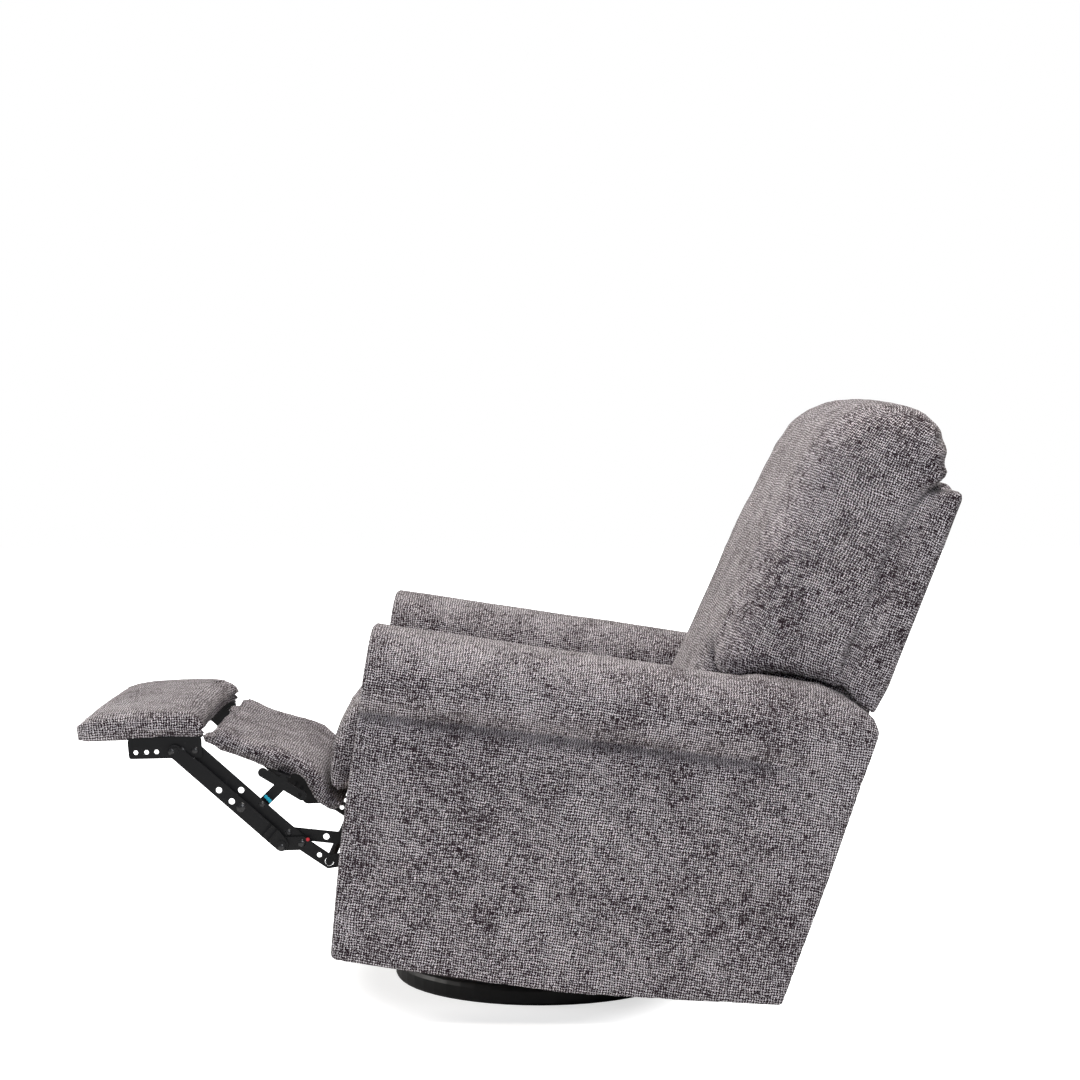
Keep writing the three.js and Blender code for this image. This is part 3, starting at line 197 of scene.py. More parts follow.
class StudioSettings(bpy.types.PropertyGroup):
    distance: FloatProperty(
        name="Camera distance", description="From the camera to the chair's middle plane",
        default=4.525, min=1, max=20, unit="LENGTH",
    )
    height: FloatProperty(
        name="Camera height", description="Height of the camera over the floor",
        default=1.051, min=0, max=5, unit="LENGTH",
    )
    drop: FloatProperty(
        name="Lens shift", description="How far the level camera's frame is shifted down, as a share of it",
        default=0.1389, min=0, max=1, subtype="FACTOR",
    )
    lens: FloatProperty(
        name="Lens", description="Focal length on a 36 mm sensor",
        default=83.33, min=10, max=300, unit="CAMERA",
    )
    daylight: FloatProperty(
        name="Room light", description="Strength of the even light from all round",
        default=0.17, min=0, max=3,
    )
    key: FloatProperty(
        name="Key light", description="Power of the light before the chair, far off, in watts",
        default=128, min=0, max=1000,
    )
    top: FloatProperty(
        name="Top light", description="Power of the warm light over the chair, in watts",
        default=110, min=0, max=1000,
    )
    fill: FloatProperty(
        name="Fill light", description="Power of the cool light beside the camera, in watts",
        default=27, min=0, max=1000,
    )
    glow: FloatProperty(
        name="Floor glow", description="Share of the white floor that glows by itself and shows no shadow",
        default=0.30, min=0, max=1, subtype="FACTOR",
    )
    glow_strength: FloatProperty(
        name="Glow strength", description="Strength of that share of the floor",
        default=2.2, min=0, max=5,
    )


# Node helpers
def new_tree(name, inputs, outputs):
    """An empty shader node group with named inputs and outputs."""
    tree = bpy.data.node_groups.new(name, "ShaderNodeTree")
    for label, kind, default in inputs:
        socket = tree.interface.new_socket(name=label, in_out="INPUT", socket_type=kind)
        if default is not None:
            socket.default_value = default
    for label, kind in outputs:
        tree.interface.new_socket(name=label, in_out="OUTPUT", socket_type=kind)
    return tree, tree.nodes.new("NodeGroupInput").outputs, tree.nodes.new("NodeGroupOutput").inputs


def feed(tree, socket, value):
    """Sets a socket, or links another socket to it."""
    if isinstance(value, bpy.types.NodeSocket):
        tree.links.new(value, socket)
    else:
        socket.default_value = value


def calc(tree, operation, *values, clamp=False):
    node = tree.nodes.new("ShaderNodeMath")
    node.operation = operation
    node.use_clamp = clamp
    for socket, value in zip(node.inputs, values):
        feed(tree, socket, value)
    return node.outputs[0]


def total(tree, *values):
    result = values[0]
    for value in values[1:]:
        result = calc(tree, "ADD", result, value)
    return result


def ramp(tree, value, low, high, to_low=0.0, to_high=1.0):
    """A smooth step of a value between two limits."""
    node = tree.nodes.new("ShaderNodeMapRange")
    node.interpolation_type = "SMOOTHSTEP"
    for name, setting in (("Value", value), ("From Min", low), ("From Max", high),
                          ("To Min", to_low), ("To Max", to_high)):
        feed(tree, node.inputs[name], setting)
    return node.outputs["Result"]


def speckle(tree, vector, scale, detail=2.0, roughness=0.5):
    node = tree.nodes.new("ShaderNodeTexNoise")
    feed(tree, node.inputs["Vector"], vector)
    feed(tree, node.inputs["Scale"], scale)
    feed(tree, node.inputs["Detail"], detail)
    feed(tree, node.inputs["Roughness"], roughness)
    return node.outputs["Fac"]


def stretched(tree, vector, scale):
    node = tree.nodes.new("ShaderNodeMapping")
    feed(tree, node.inputs["Vector"], vector)
    feed(tree, node.inputs["Scale"], scale)
    return node.outputs["Vector"]


def blended(tree, share, first, second):
    node = tree.nodes.new("ShaderNodeMix")
    node.data_type = "RGBA"
    feed(tree, node.inputs[0], share)
    feed(tree, node.inputs[6], first)
    feed(tree, node.inputs[7], second)
    return node.outputs[2]


def rgba(color):
    return (color[0], color[1], color[2], 1.0)


def chenille_group():
    """Pale and dark yarns in a plain weave, with slubs and crushed patches: a pale mask and a height. The pale mask
    also holds painted shade: each yarn is painted darker towards its edges and paler along its middle, as shade of
    its roundness.
    """
    tree, given, wanted = new_tree(
        "chenille weave",
        [("Weave", "NodeSocketVector", None), ("Place", "NodeSocketVector", None),
         ("Yarns per metre", "NodeSocketFloat", 400.0), ("Patches", "NodeSocketFloat", 1.0)],
        [("Pale", "NodeSocketFloat"), ("Height", "NodeSocketFloat")],
    )

    def around(value, weight):
        return calc(tree, "MULTIPLY", calc(tree, "SUBTRACT", value, 0.5), weight)

    def vector(x, y, z):
        node = tree.nodes.new("ShaderNodeCombineXYZ")
        for socket, value in zip(node.inputs, (x, y, z)):
            feed(tree, socket, value)
        return node.outputs[0]

    parts = tree.nodes.new("ShaderNodeSeparateXYZ")
    feed(tree, parts.inputs[0], given["Weave"])
    scaled = [calc(tree, "MULTIPLY", parts.outputs[i], given["Yarns per metre"]) for i in (0, 1)]
    flat = vector(scaled[0], scaled[1], 0.0)
    warp_at, weft_at = (
        total(tree, scaled[i], around(speckle(tree, flat, 0.045, 1.0), 2.4),
              around(speckle(tree, vector(scaled[0], scaled[1], 7.0 + i), 0.32, 1.0), 1.2))
        for i in (0, 1)
    )
    warp_thread = calc(tree, "FLOOR", warp_at)
    weft_thread = calc(tree, "FLOOR", weft_at)
    warp_tone = speckle(tree, vector(calc(tree, "MULTIPLY", warp_thread, 7.31),
                                     calc(tree, "MULTIPLY", weft_at, 0.4), 3.1), 1.0, 1.5, 0.6)
    weft_tone = speckle(tree, vector(calc(tree, "MULTIPLY", warp_at, 0.4),
                                     calc(tree, "MULTIPLY", weft_thread, 7.31), 9.7), 1.0, 1.5, 0.6)
    parity = calc(tree, "MODULO", calc(tree, "ADD", warp_thread, weft_thread), 2.0)
    over = calc(tree, "GREATER_THAN", calc(tree, "ABSOLUTE", parity), 0.5)
    under = calc(tree, "SUBTRACT", 1.0, over)
    # The round profile of each yarn: its height for the relief, and also painted shade, since the pale mask below
    # darkens each yarn towards its edges
    round_warp = calc(tree, "ABSOLUTE", calc(tree, "SINE", calc(tree, "MULTIPLY", warp_at, math.pi)))
    round_weft = calc(tree, "ABSOLUTE", calc(tree, "SINE", calc(tree, "MULTIPLY", weft_at, math.pi)))
    rise = total(tree, calc(tree, "MULTIPLY", over, round_warp), calc(tree, "MULTIPLY", under, round_weft))
    tone = total(tree, calc(tree, "MULTIPLY", over, warp_tone), calc(tree, "MULTIPLY", under, weft_tone))
    fuzz = speckle(tree, vector(warp_at, weft_at, 21.0), 0.9, 2.0, 0.65)
    patch = speckle(tree, given["Place"], 20.0, 2.0, 0.55)
    cloud = speckle(tree, given["Place"], 6.5, 2.0, 0.5)
    # rise paints shade into the colour here: each yarn paler along its middle and darker at its edges
    pale = total(
        tree, -1.59, around(warp_tone, 0.3), around(weft_tone, 0.3), around(tone, 1.2),
        around(fuzz, 1.2), calc(tree, "MULTIPLY", rise, 2.3),
        calc(tree, "MULTIPLY", total(tree, around(patch, 0.55), around(cloud, 0.4)), given["Patches"]),
    )
    feed(tree, wanted["Pale"], ramp(tree, pale, 0.18, 0.74))
    feed(tree, wanted["Height"], total(tree, rise, around(fuzz, 0.8)))
    return tree


def scuff_group():
    """Fine unevenness of paint or plating: a mask of rubbed spots and a roughness offset."""
    tree, given, wanted = new_tree(
        "scuffed finish",
        [("Place", "NodeSocketVector", None), ("Grain per metre", "NodeSocketFloat", 400.0),
         ("Wear", "NodeSocketFloat", 0.5)],
        [("Rubbed", "NodeSocketFloat"), ("Roughness shift", "NodeSocketFloat"),
         ("Height", "NodeSocketFloat")],
    )
    grain = speckle(tree, given["Place"], given["Grain per metre"], 3.0, 0.6)
    broad = speckle(tree, given["Place"], 35.0, 3.0, 0.6)
    spots = ramp(tree, total(tree, calc(tree, "MULTIPLY", grain, 0.5), calc(tree, "MULTIPLY", broad, 0.5)),
                 0.60, 0.72)
    feed(tree, wanted["Rubbed"], calc(tree, "MULTIPLY", spots, given["Wear"], clamp=True))
    feed(tree, wanted["Roughness shift"],
         calc(tree, "MULTIPLY", calc(tree, "SUBTRACT", broad, 0.5), 0.3))
    feed(tree, wanted["Height"], grain)
    return tree


def material_with_shader(name):
    material = bpy.data.materials.new(name)
    material.use_nodes = True
    tree = material.node_tree
    shader = tree.nodes["Principled BSDF"]
    return material, tree, shader


def place_of(tree):
    return tree.nodes.new("ShaderNodeTexCoord").outputs["Object"]


def grouped(tree, group, **values):
    node = tree.nodes.new("ShaderNodeGroup")
    node.node_tree = group
    for name, value in values.items():
        feed(tree, node.inputs[name.replace("_", " ")], value)
    return node.outputs


def bumped(tree, shader, height, distance, strength=1.0):
    node = tree.nodes.new("ShaderNodeBump")
    node.inputs["Distance"].default_value = distance
    node.inputs["Strength"].default_value = strength
    feed(tree, node.inputs["Height"], height)
    feed(tree, shader.inputs["Normal"], node.outputs["Normal"])


def cloth_material(group):
    settings = bpy.context.scene.recliner_cloth
    material, tree, shader = material_with_shader("chenille")
    laid = tree.nodes.new("ShaderNodeUVMap")
    laid.uv_map = "weave"
    weave = grouped(tree, group, Weave=laid.outputs["UV"], Place=place_of(tree),
                    Yarns_per_metre=1 / settings.yarn)
    color = blended(tree, weave["Pale"], rgba(settings.dark_yarn), rgba(settings.light_yarn))
    feed(tree, shader.inputs["Base Color"], color)
    shader.inputs["Roughness"].default_value = 0.9
    shader.inputs["Specular IOR Level"].default_value = 0.1
    shader.inputs["Sheen Weight"].default_value = 0.16
    shader.inputs["Sheen Roughness"].default_value = 0.45
    shader.inputs["Sheen Tint"].default_value = (1.0, 0.95, 0.9, 1.0)
    bumped(tree, shader, weave["Height"], settings.bump, 0.6)
    return material


def painted_material(name, color, group, roughness, wear, rubbed_color, metallic=0.0, gloss=0.5):
    material, tree, shader = material_with_shader(name)
    finish = grouped(tree, group, Place=place_of(tree), Wear=wear)
    feed(tree, shader.inputs["Base Color"], blended(tree, finish["Rubbed"], rgba(color), rgba(rubbed_color)))
    feed(tree, shader.inputs["Roughness"], calc(tree, "ADD", finish["Roughness shift"], roughness, clamp=True))
    shader.inputs["Metallic"].default_value = metallic
    shader.inputs["Specular IOR Level"].default_value = gloss
    bumped(tree, shader, finish["Height"], 0.15 * MM, 0.3)
    return material


def timber_material(color):
    material, tree, shader = material_with_shader("timber")
    place = place_of(tree)
    grain = speckle(tree, stretched(tree, place, (14.0, 2.2, 90.0)), 3.0, 5.0, 0.6)
    dark = tuple(channel * 0.55 for channel in color)
    feed(tree, shader.inputs["Base Color"], blended(tree, ramp(tree, grain, 0.3, 0.7), rgba(dark), rgba(color)))
    shader.inputs["Roughness"].default_value = 0.75
    bumped(tree, shader, grain, 0.3 * MM, 0.4)
    return material


def finish_materials():
    """Every material of the chair, made once."""
    if "chenille" in bpy.data.materials:
        return bpy.data.materials
    colors = bpy.context.scene.recliner_finish
    scuff = scuff_group()
    cloth_material(chenille_group())
    bare = (0.25, 0.25, 0.26)
    painted_material("black steel", colors.steel, scuff, 0.42, 0.12, bare, gloss=0.28)
    painted_material("rivet steel", colors.rivet, scuff, 0.24, 0.5, bare, metallic=0.3, gloss=0.7)
    painted_material("base paint", colors.ring, scuff, 0.45, 0.08, bare, gloss=0.3)
    painted_material("zinc plate", colors.zinc, scuff, 0.38, 0.5, (0.3, 0.3, 0.3), metallic=0.9)
    painted_material("moulding", colors.moulding, scuff, 0.55, 0.1, (0.05, 0.05, 0.05))
    painted_material("blue mark", colors.blue_mark, scuff, 0.5, 0.2, colors.steel)
    painted_material("red mark", colors.red_mark, scuff, 0.5, 0.2, colors.steel)
    timber_material(colors.timber)
    return bpy.data.materials


def finish_nodes(material_name, *nodes):
    """Gives carried-over CAD nodes their finish."""
    material = finish_materials()[material_name]
    for node in nodes:
        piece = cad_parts[node]
        if not piece.data.materials:
            piece.data.materials.append(material)
        for slot in range(len(piece.data.materials)):
            piece.data.materials[slot] = material


def both(*names):
    return [f"{name}_{side}" for name in names for side, _ in SIDES]


# Mesh helpers
def piece_from(name, work):
    """An object at the origin from a bmesh, with smooth faces."""
    mesh = bpy.data.meshes.new(name)
    work.to_mesh(mesh)
    work.free()
    piece = bpy.data.objects.new(name, mesh)
    bpy.context.scene.collection.objects.link(piece)
    mesh.polygons.foreach_set("use_smooth", [True] * len(mesh.polygons))
    return piece


def solid_copy(node):
    """A CAD node's surface with its corners merged."""
    work = bmesh.new()
    work.from_mesh(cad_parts[node].data)
    bmesh.ops.remove_doubles(work, verts=work.verts, dist=0.01 * MM)
    return work


def points_of(piece):
    points = np.empty(len(piece.data.vertices) * 3)
    piece.data.vertices.foreach_get("co", points)
    return points.reshape(-1, 3)


def move_points(piece, points):
    piece.data.vertices.foreach_set("co", points.ravel())
    piece.data.update()


def normals_of(piece):
    normals = np.empty(len(piece.data.vertices) * 3)
    piece.data.vertices.foreach_get("normal", normals)
    return normals.reshape(-1, 3)


def apply_modifiers(piece):
    graph = bpy.context.evaluated_depsgraph_get()
    shaped = bpy.data.meshes.new_from_object(piece.evaluated_get(graph))
    piece.modifiers.clear()
    piece.data = shaped
    shaped.polygons.foreach_set("use_smooth", [True] * len(shaped.polygons))


def remesh(piece, voxel):
    modifier = piece.modifiers.new("skin", "REMESH")
    modifier.mode = "VOXEL"
    modifier.voxel_size = voxel
    apply_modifiers(piece)


def relax(piece, rounds, factor=0.5):
    """Evens the skin out, which rounds its edges."""
    if not rounds:
        return
    work = bmesh.new()
    work.from_mesh(piece.data)
    for _ in range(rounds):
        bmesh.ops.smooth_vert(work, verts=work.verts, factor=factor,
                              use_axis_x=True, use_axis_y=True, use_axis_z=True)
    work.to_mesh(piece.data)
    work.free()
    piece.data.update()


def swell(piece, pressure, limit):
    """Fills a skin under pressure, and caps how far each point may go."""
    settings = bpy.context.scene.recliner_padding
    start = points_of(piece)
    modifier = piece.modifiers.new("filling", "CLOTH")
    cloth = modifier.settings
    cloth.quality = 4
    cloth.mass = 0.3
    cloth.use_pressure = True
    cloth.uniform_pressure_force = pressure
    cloth.tension_stiffness = 12
    cloth.compression_stiffness = 8
    cloth.bending_stiffness = 0.4
    cloth.effector_weights.gravity = 0
    modifier.point_cache.frame_start = 1
    modifier.point_cache.frame_end = settings.sim_frames
    scene = bpy.context.scene
    for step in range(1, settings.sim_frames + 1):
        scene.frame_set(step)
    apply_modifiers(piece)
    scene.frame_set(1)
    moved = points_of(piece) - start
    reach = np.linalg.norm(moved, axis=1, keepdims=True)
    move_points(piece, start + moved * np.minimum(1, limit / np.maximum(reach, 1e-9)))


def hold_to_solids(piece, nodes, proud, kept=0.0):
    """Draws back what stands further outside the CAD solids than the cloth may, and lifts what the
    relaxing has sunk back out by a kept share."""
    work = bmesh.new()
    for node in nodes:
        work.from_mesh(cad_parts[node].data)
    tree = BVHTree.FromBMesh(work)
    work.free()
    points = points_of(piece)
    for index, point in enumerate(points):
        near, normal, _, distance = tree.find_nearest(Vector(point))
        if (Vector(point) - near).dot(normal) <= 0:
            points[index] = Vector(point).lerp(near, kept)
        elif distance > proud:
            points[index] = near + (Vector(point) - near) * (proud / distance)
    move_points(piece, points)


def lay_weave(piece, lean, wrapped):
    """A weave map in metres. The cloth wraps a piece about its long way along x, or upright about z:
    there it runs on unbroken over the rounded edges, and the ends are laid flat."""
    mesh = piece.data
    cosine, sine = math.cos(lean), math.sin(lean)
    normals = np.empty(len(mesh.polygons) * 3)
    mesh.polygons.foreach_get("normal", normals)
    normals = normals.reshape(-1, 3)
    totals = np.empty(len(mesh.polygons), int)
    mesh.polygons.foreach_get("loop_total", totals)
    corners = np.empty(len(mesh.loops), int)
    mesh.loops.foreach_get("vertex_index", corners)
    points = points_of(piece)
    x = (points[:, 0] * cosine - points[:, 2] * sine)[corners]
    z = (points[:, 0] * sine + points[:, 2] * cosine)[corners]
    y = points[corners, 1]
    ahead = np.repeat(normals[:, 0] * cosine - normals[:, 2] * sine, totals)
    upward = np.repeat(normals[:, 0] * sine + normals[:, 2] * cosine, totals)
    across = y - (points[:, 1].max() + points[:, 1].min()) / 2
    reach = np.abs(across).max()
    turn = np.clip(across / (0.4 * reach), -1, 1)
    if wrapped == "x":
        end = np.abs(ahead) > 0.8
        across = np.where(upward < 0, np.sign(across) * reach, across)
        laid = np.stack([np.where(end, y, x), np.where(end, z, across - turn * (z - z.max()))], axis=1)
    else:
        end = np.abs(upward) > 0.8
        across = np.where(ahead > 0.3, -across, across)
        laid = np.stack([np.where(end, y, across + turn * (x - x.min())), np.where(end, x, z)], axis=1)
    layer = mesh.uv_layers.new(name="weave")
    layer.data.foreach_set("uv", laid.ravel())


def cover(piece, body, nodes, lean=BODY_LEAN, wrapped="x"):
    """Makes a piece the finished cloth cover of CAD nodes on a body."""
    lay_weave(piece, lean, wrapped)
    piece.data.materials.clear()
    piece.data.materials.append(finish_materials()["chenille"])
    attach(piece, body)
    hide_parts(*nodes)
    return piece


def joined_solid(nodes, overlap):
    """CAD solids in one mesh, each after the first grown a little so that a remesh joins them."""
    work = solid_copy(nodes[0])
    for node in nodes[1:]:
        other = solid_copy(node)
        other.normal_update()
        for vertex in other.verts:
            vertex.co += vertex.normal * overlap
        grown = bpy.data.meshes.new(node)
        other.to_mesh(grown)
        other.free()
        work.from_mesh(grown)
        bpy.data.meshes.remove(grown)
    return work


def padded_skin(name, nodes, rounds, draw_in=0.0, pressure=0.0, limit=0.0, kept=0.75, overlap=0.5 * MM):
    """A cover over CAD solids: rounded, filled, and held to them."""
    settings = bpy.context.scene.recliner_padding
    piece = piece_from(name, joined_solid(nodes, overlap))
    remesh(piece, settings.voxel)
    move_points(piece, points_of(piece) - normals_of(piece) * draw_in)
    relax(piece, rounds)
    if pressure:
        swell(piece, pressure, limit)
    hold_to_solids(piece, nodes, settings.proud, kept)
    return piece


def bell(value, center, width):
    return np.exp(-((value - center) / width) ** 2)


def undulate(piece, reach, size, seed):
    """Lets the cloth rise and sink softly, as stuffed cloth does."""
    points = points_of(piece)
    amounts = np.array([noise.noise(Vector(point) / size + Vector((seed, 0, 0))) for point in points])
    move_points(piece, points + normals_of(piece) * (amounts * reach)[:, None])


def smooth_share(value, low, high):
    share = np.clip((value - low) / (high - low), 0, 1)
    return share * share * (3 - 2 * share)


def keep_from_pivot(piece, nearest, furthest, start, low):
    """Keeps the points behind a start and over a height within a range of distances from the recline pivot."""
    level = to_level(points_of(piece))
    across, up = level[:, 0] - RECLINE_X, level[:, 2] - RECLINE_Z
    distance = np.hypot(across, up)
    allowed = np.clip(distance, nearest, furthest)
    scale = np.where((level[:, 2] > low) & (level[:, 0] > start), allowed / distance, 1)
    level[:, 0] = RECLINE_X + across * scale
    level[:, 2] = RECLINE_Z + up * scale
    move_points(piece, from_level(level))


# Pieces
def arm_cover(name, side):
    """One cloth over an arm and its facing, with the crease under the roll drawn in."""
    nodes = [f"arm_{name}", f"arm_facing_{name}"]
    piece = padded_skin(f"arm_cover_{name}", nodes, 2, kept=0.85)
    points = points_of(piece)
    level = to_level(points)
    share = np.clip((level[:, 0] - ARM_FRONT) / ARM_LENGTH, 0, 1)
    crease = ARM_TOP - ROLL_HEIGHT * (1 - ROLL_TAPER * share) * 0.99
    outward = level[:, 1] * side
    on_face = smooth_share(outward, 366, 380) * (1 - smooth_share(share, 0.72, 0.9))
    below = level[:, 2] - crease
    depth = np.where(below > 0, bell(below, 0, 30), bell(below, 0, 8)) * 24.0 - bell(below, 70, 26) * 2.5
    points[:, 1] -= side * depth * on_face * MM
    points[:, 1] -= side * bell(level[:, 0], ARM_FRONT + 22, 6) * 3.5 * smooth_share(outward, 366, 380) * MM
    ceiling = RECLINE_Z + np.sqrt(np.maximum(SHOULDER_RADIUS ** 2 - (level[:, 0] - RECLINE_X) ** 2, 0))
    lift = np.clip(np.minimum(ARM_TOP + 7, ceiling) - ARM_TOP, 0, 7)
    under_wing = smooth_share(level[:, 0], 150, 250) * smooth_share(level[:, 2], ARM_TOP - 40, ARM_TOP)
    points[:, 2] += lift * under_wing * MM
    move_points(piece, points)
    undulate(piece, 1.2 * MM, 0.12, 3.0 + side)
    keep_from_pivot(piece, 0, SHOULDER_RADIUS, 252, 540)
    return cover(piece, "carriage", nodes)


class RECLINER_OT_arms(bpy.types.Operator):
    """Cover the rolled arms and their front facings"""

    bl_idname = "recliner.arms"
    bl_label = "Arms"

    def execute(self, context):
        for name, side in SIDES:
            arm_cover(name, side)
        return {"FINISHED"}


class RECLINER_OT_seat(bpy.types.Operator):
    """Cover the seat cushion and the panel behind the seat box"""

    bl_idname = "recliner.seat"
    bl_label = "Seat"

    def execute(self, context):
        padding = context.scene.recliner_padding
        piece = padded_skin("seat_cushion_cover", ["seat_cushion"], 2, 5 * MM, padding.pressure, padding.swell)
        level = to_level(points_of(piece))
        crease = bell(np.hypot(level[:, 0] + 398, level[:, 2] - 466), 0, 9)
        move_points(piece, points_of(piece) - normals_of(piece) * (crease * 6 * MM)[:, None])
        undulate(piece, 2.0 * MM, 0.09, 11.0)
        cover(piece, "carriage", ["seat_cushion"])
        panel = piece_from("rear_panel_cover", solid_copy("rear_panel"))
        remesh(panel, 4 * MM)
        relax(panel, 2)
        cover(panel, "carriage", ["rear_panel"])
        return {"FINISHED"}


def seam_shift(z):
    """How much further back the cushion laps over its frame than the solids' seam, by height."""
    return np.interp(z, [560, 625, 721, 784, 865, 940, 982, 1010], [6, 9, 17, 25, 26, 21, 8, 0])


def seam_line(z):
    return np.interp(z, [605, 726, 853, 905, 950, 970, 984, 1002], [405, 434, 463, 483, 505, 519, 533, 546])


def lap_over_frame(piece):
    level = to_level(points_of(piece))
    shift = seam_shift(level[:, 2])
    share = smooth_share(level[:, 0] - seam_line(level[:, 2]), -75, -4)
    level[:, 0] += shift * share
    wide = smooth_share(np.abs(level[:, 1]), 262, 300) * smooth_share(level[:, 2], 600, 680)
    edge = bell(level[:, 0] - seam_line(level[:, 2]) - shift, 0, 15)
    level[:, 1] += np.sign(level[:, 1]) * wide * (share * 2.0 - edge * 8.0)
    move_points(piece, from_level(level))


def tuck_frame(piece):
    """Draws the frame's cloth in under the cushion's lap and rounds the frame's top rear corner."""
    level = to_level(points_of(piece))
    lap = seam_line(level[:, 2]) + seam_shift(level[:, 2])
    tucked = 1 - smooth_share(level[:, 0] - lap, -6, 16)
    level[:, 1] -= np.sign(level[:, 1]) * tucked * smooth_share(np.abs(level[:, 1]), 300, 330) * 9.0
    lean = math.atan2(FRAME_TOP_X - FRAME_FOOT_X, FRAME_TOP_Z - FRAME_FOOT_Z)
    across = np.array([math.cos(lean), -math.sin(lean)])
    along = np.array([math.sin(lean), math.cos(lean)])
    corner = np.array([FRAME_TOP_X, FRAME_TOP_Z])
    beyond_a = (level[:, [0, 2]] - corner) @ across + FRAME_CORNER
    beyond_b = (level[:, [0, 2]] - corner) @ along + FRAME_CORNER
    reach = np.hypot(beyond_a, beyond_b)
    outside = (beyond_a > 0) & (beyond_b > 0) & (reach > FRAME_CORNER)
    pull = np.where(outside, FRAME_CORNER / np.maximum(reach, 1e-6) - 1, 0)
    low = 1 - smooth_share(level[:, 2], FRAME_FOOT_Z + 2, FRAME_FOOT_Z + 40)
    from_pivot = np.hypot(level[:, 0] - RECLINE_X, level[:, 2] - RECLINE_Z)
    nearer = np.maximum(from_pivot - 16 * low, np.minimum(from_pivot, RECLINE_CLEAR + 2))
    foot_x = (level[:, 0] - RECLINE_X) * (nearer / from_pivot - 1)
    foot_z = (level[:, 2] - RECLINE_Z) * (nearer / from_pivot - 1)
    level[:, 0] += pull * (beyond_a * across[0] + beyond_b * along[0])
    level[:, 2] += pull * (beyond_a * across[1] + beyond_b * along[1])
    level[:, 0] += foot_x
    level[:, 2] += foot_z
    move_points(piece, from_level(level))


def lower_wings(piece):
    """Lets the cushion's sides hang down to the arms, as far as they clear them when the back leans."""
    points = points_of(piece)
    level = to_level(points)
    reach = np.maximum(RECLINE_CLEAR ** 2 - (level[:, 0] - RECLINE_X) ** 2, 0)
    floor_z = np.maximum(ARM_TOP - 2, RECLINE_Z + np.sqrt(reach))
    drop = np.clip(WING_FOOT - floor_z, 0, 19)
    near_foot = 1 - smooth_share(level[:, 2], WING_FOOT, WING_FOOT + 70)
    beside = smooth_share(np.abs(level[:, 1]), 262, 275)
    level[:, 2] -= drop * near_foot * beside * (level[:, 2] > WING_FOOT - 25)
    height = level[:, 2] - floor_z
    at_foot = (height > 0) & (height < 16) & (np.abs(level[:, 1]) > 280)
    level[:, 2] -= np.where(at_foot, height * (1 - height / 16) * 0.8, 0)
    across, up = level[:, 0] - RECLINE_X, level[:, 2] - RECLINE_Z
    distance = np.hypot(across, up)
    scale = np.where((np.abs(level[:, 1]) > 256) & (up > 180), np.maximum(distance, RECLINE_CLEAR) / distance, 1)
    level[:, 0] = RECLINE_X + across * scale
    level[:, 2] = RECLINE_Z + up * scale
    move_points(piece, from_level(level))


def gather_corners(piece):
    """Small gathers where the cushion's cloth is drawn in over its top rear corners, and drag lines."""
    level = to_level(points_of(piece))
    normals = normals_of(piece)
    side_share = smooth_share(np.abs(level[:, 1]), 250, 330)
    rear = bell(level[:, 0], 540, 46) * bell(level[:, 2], 1010, 62)
    waves = np.cos((level[:, 2] * 0.85 - level[:, 0] * 0.5) / 17.0 * math.pi)
    folds = waves * rear * 3.2 * (0.35 + 0.65 * side_share)
    lines = np.array([noise.noise(Vector((p[0] / 34 + p[2] / 60, p[1] / 60, p[2] / 190 - p[0] / 300)))
                      for p in level])
    drag = lines * 2.2 * smooth_share(level[:, 2], 640, 760)
    move_points(piece, points_of(piece) + normals * ((folds + drag) * MM)[:, None])


class RECLINER_OT_back(bpy.types.Operator):
    """Cover the back cushion and the back's frame"""

    bl_idname = "recliner.back"
    bl_label = "Back"

    def execute(self, context):
        padding = context.scene.recliner_padding
        piece = padded_skin("back_cushion_cover", ["back_cushion"], 2, 4 * MM, padding.pressure, padding.swell)
        lower_wings(piece)
        lap_over_frame(piece)
        gather_corners(piece)
        cover(piece, "back", ["back_cushion"], BACK_LEAN, "z")
        shell = padded_skin("back_frame_cover", ["back_frame"], 2)
        tuck_frame(shell)
        undulate(shell, 1.5 * MM, 0.11, 6.0)
        cover(shell, "back", ["back_frame"], BACK_LEAN, "z")
        return {"FINISHED"}


def rivet_dome(work, center, side, radius, height):
    """A domed rivet head on a plate's outer face."""
    turn = Matrix.Rotation(math.radians(-90 * side), 4, "X")
    place = Matrix.Translation(center) @ turn @ Matrix.Diagonal((1, 1, height / radius, 1))
    made = bmesh.ops.create_uvsphere(work, u_segments=20, v_segments=12, radius=radius, matrix=place)
    base = center + Vector((0, side * 0.02 * MM, 0))
    geometry = made["verts"] + list({e for v in made["verts"] for e in v.link_edges}) + list(
        {f for v in made["verts"] for f in v.link_faces})
    bmesh.ops.bisect_plane(work, geom=geometry, plane_co=base, plane_no=Vector((0, -side, 0)),
                           clear_outer=True)


def rivets(name, body, spots, radius, height, material_name):
    """Rivet heads at points of the level frame, on both sides of the chair."""
    work = bmesh.new()
    for _, side in SIDES:
        for x, y, z in spots:
            rivet_dome(work, level_point(x, side * y, z), side, radius, height)
    piece = piece_from(name, work)
    piece.data.materials.append(finish_materials()[material_name])
    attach(piece, body)
    return piece


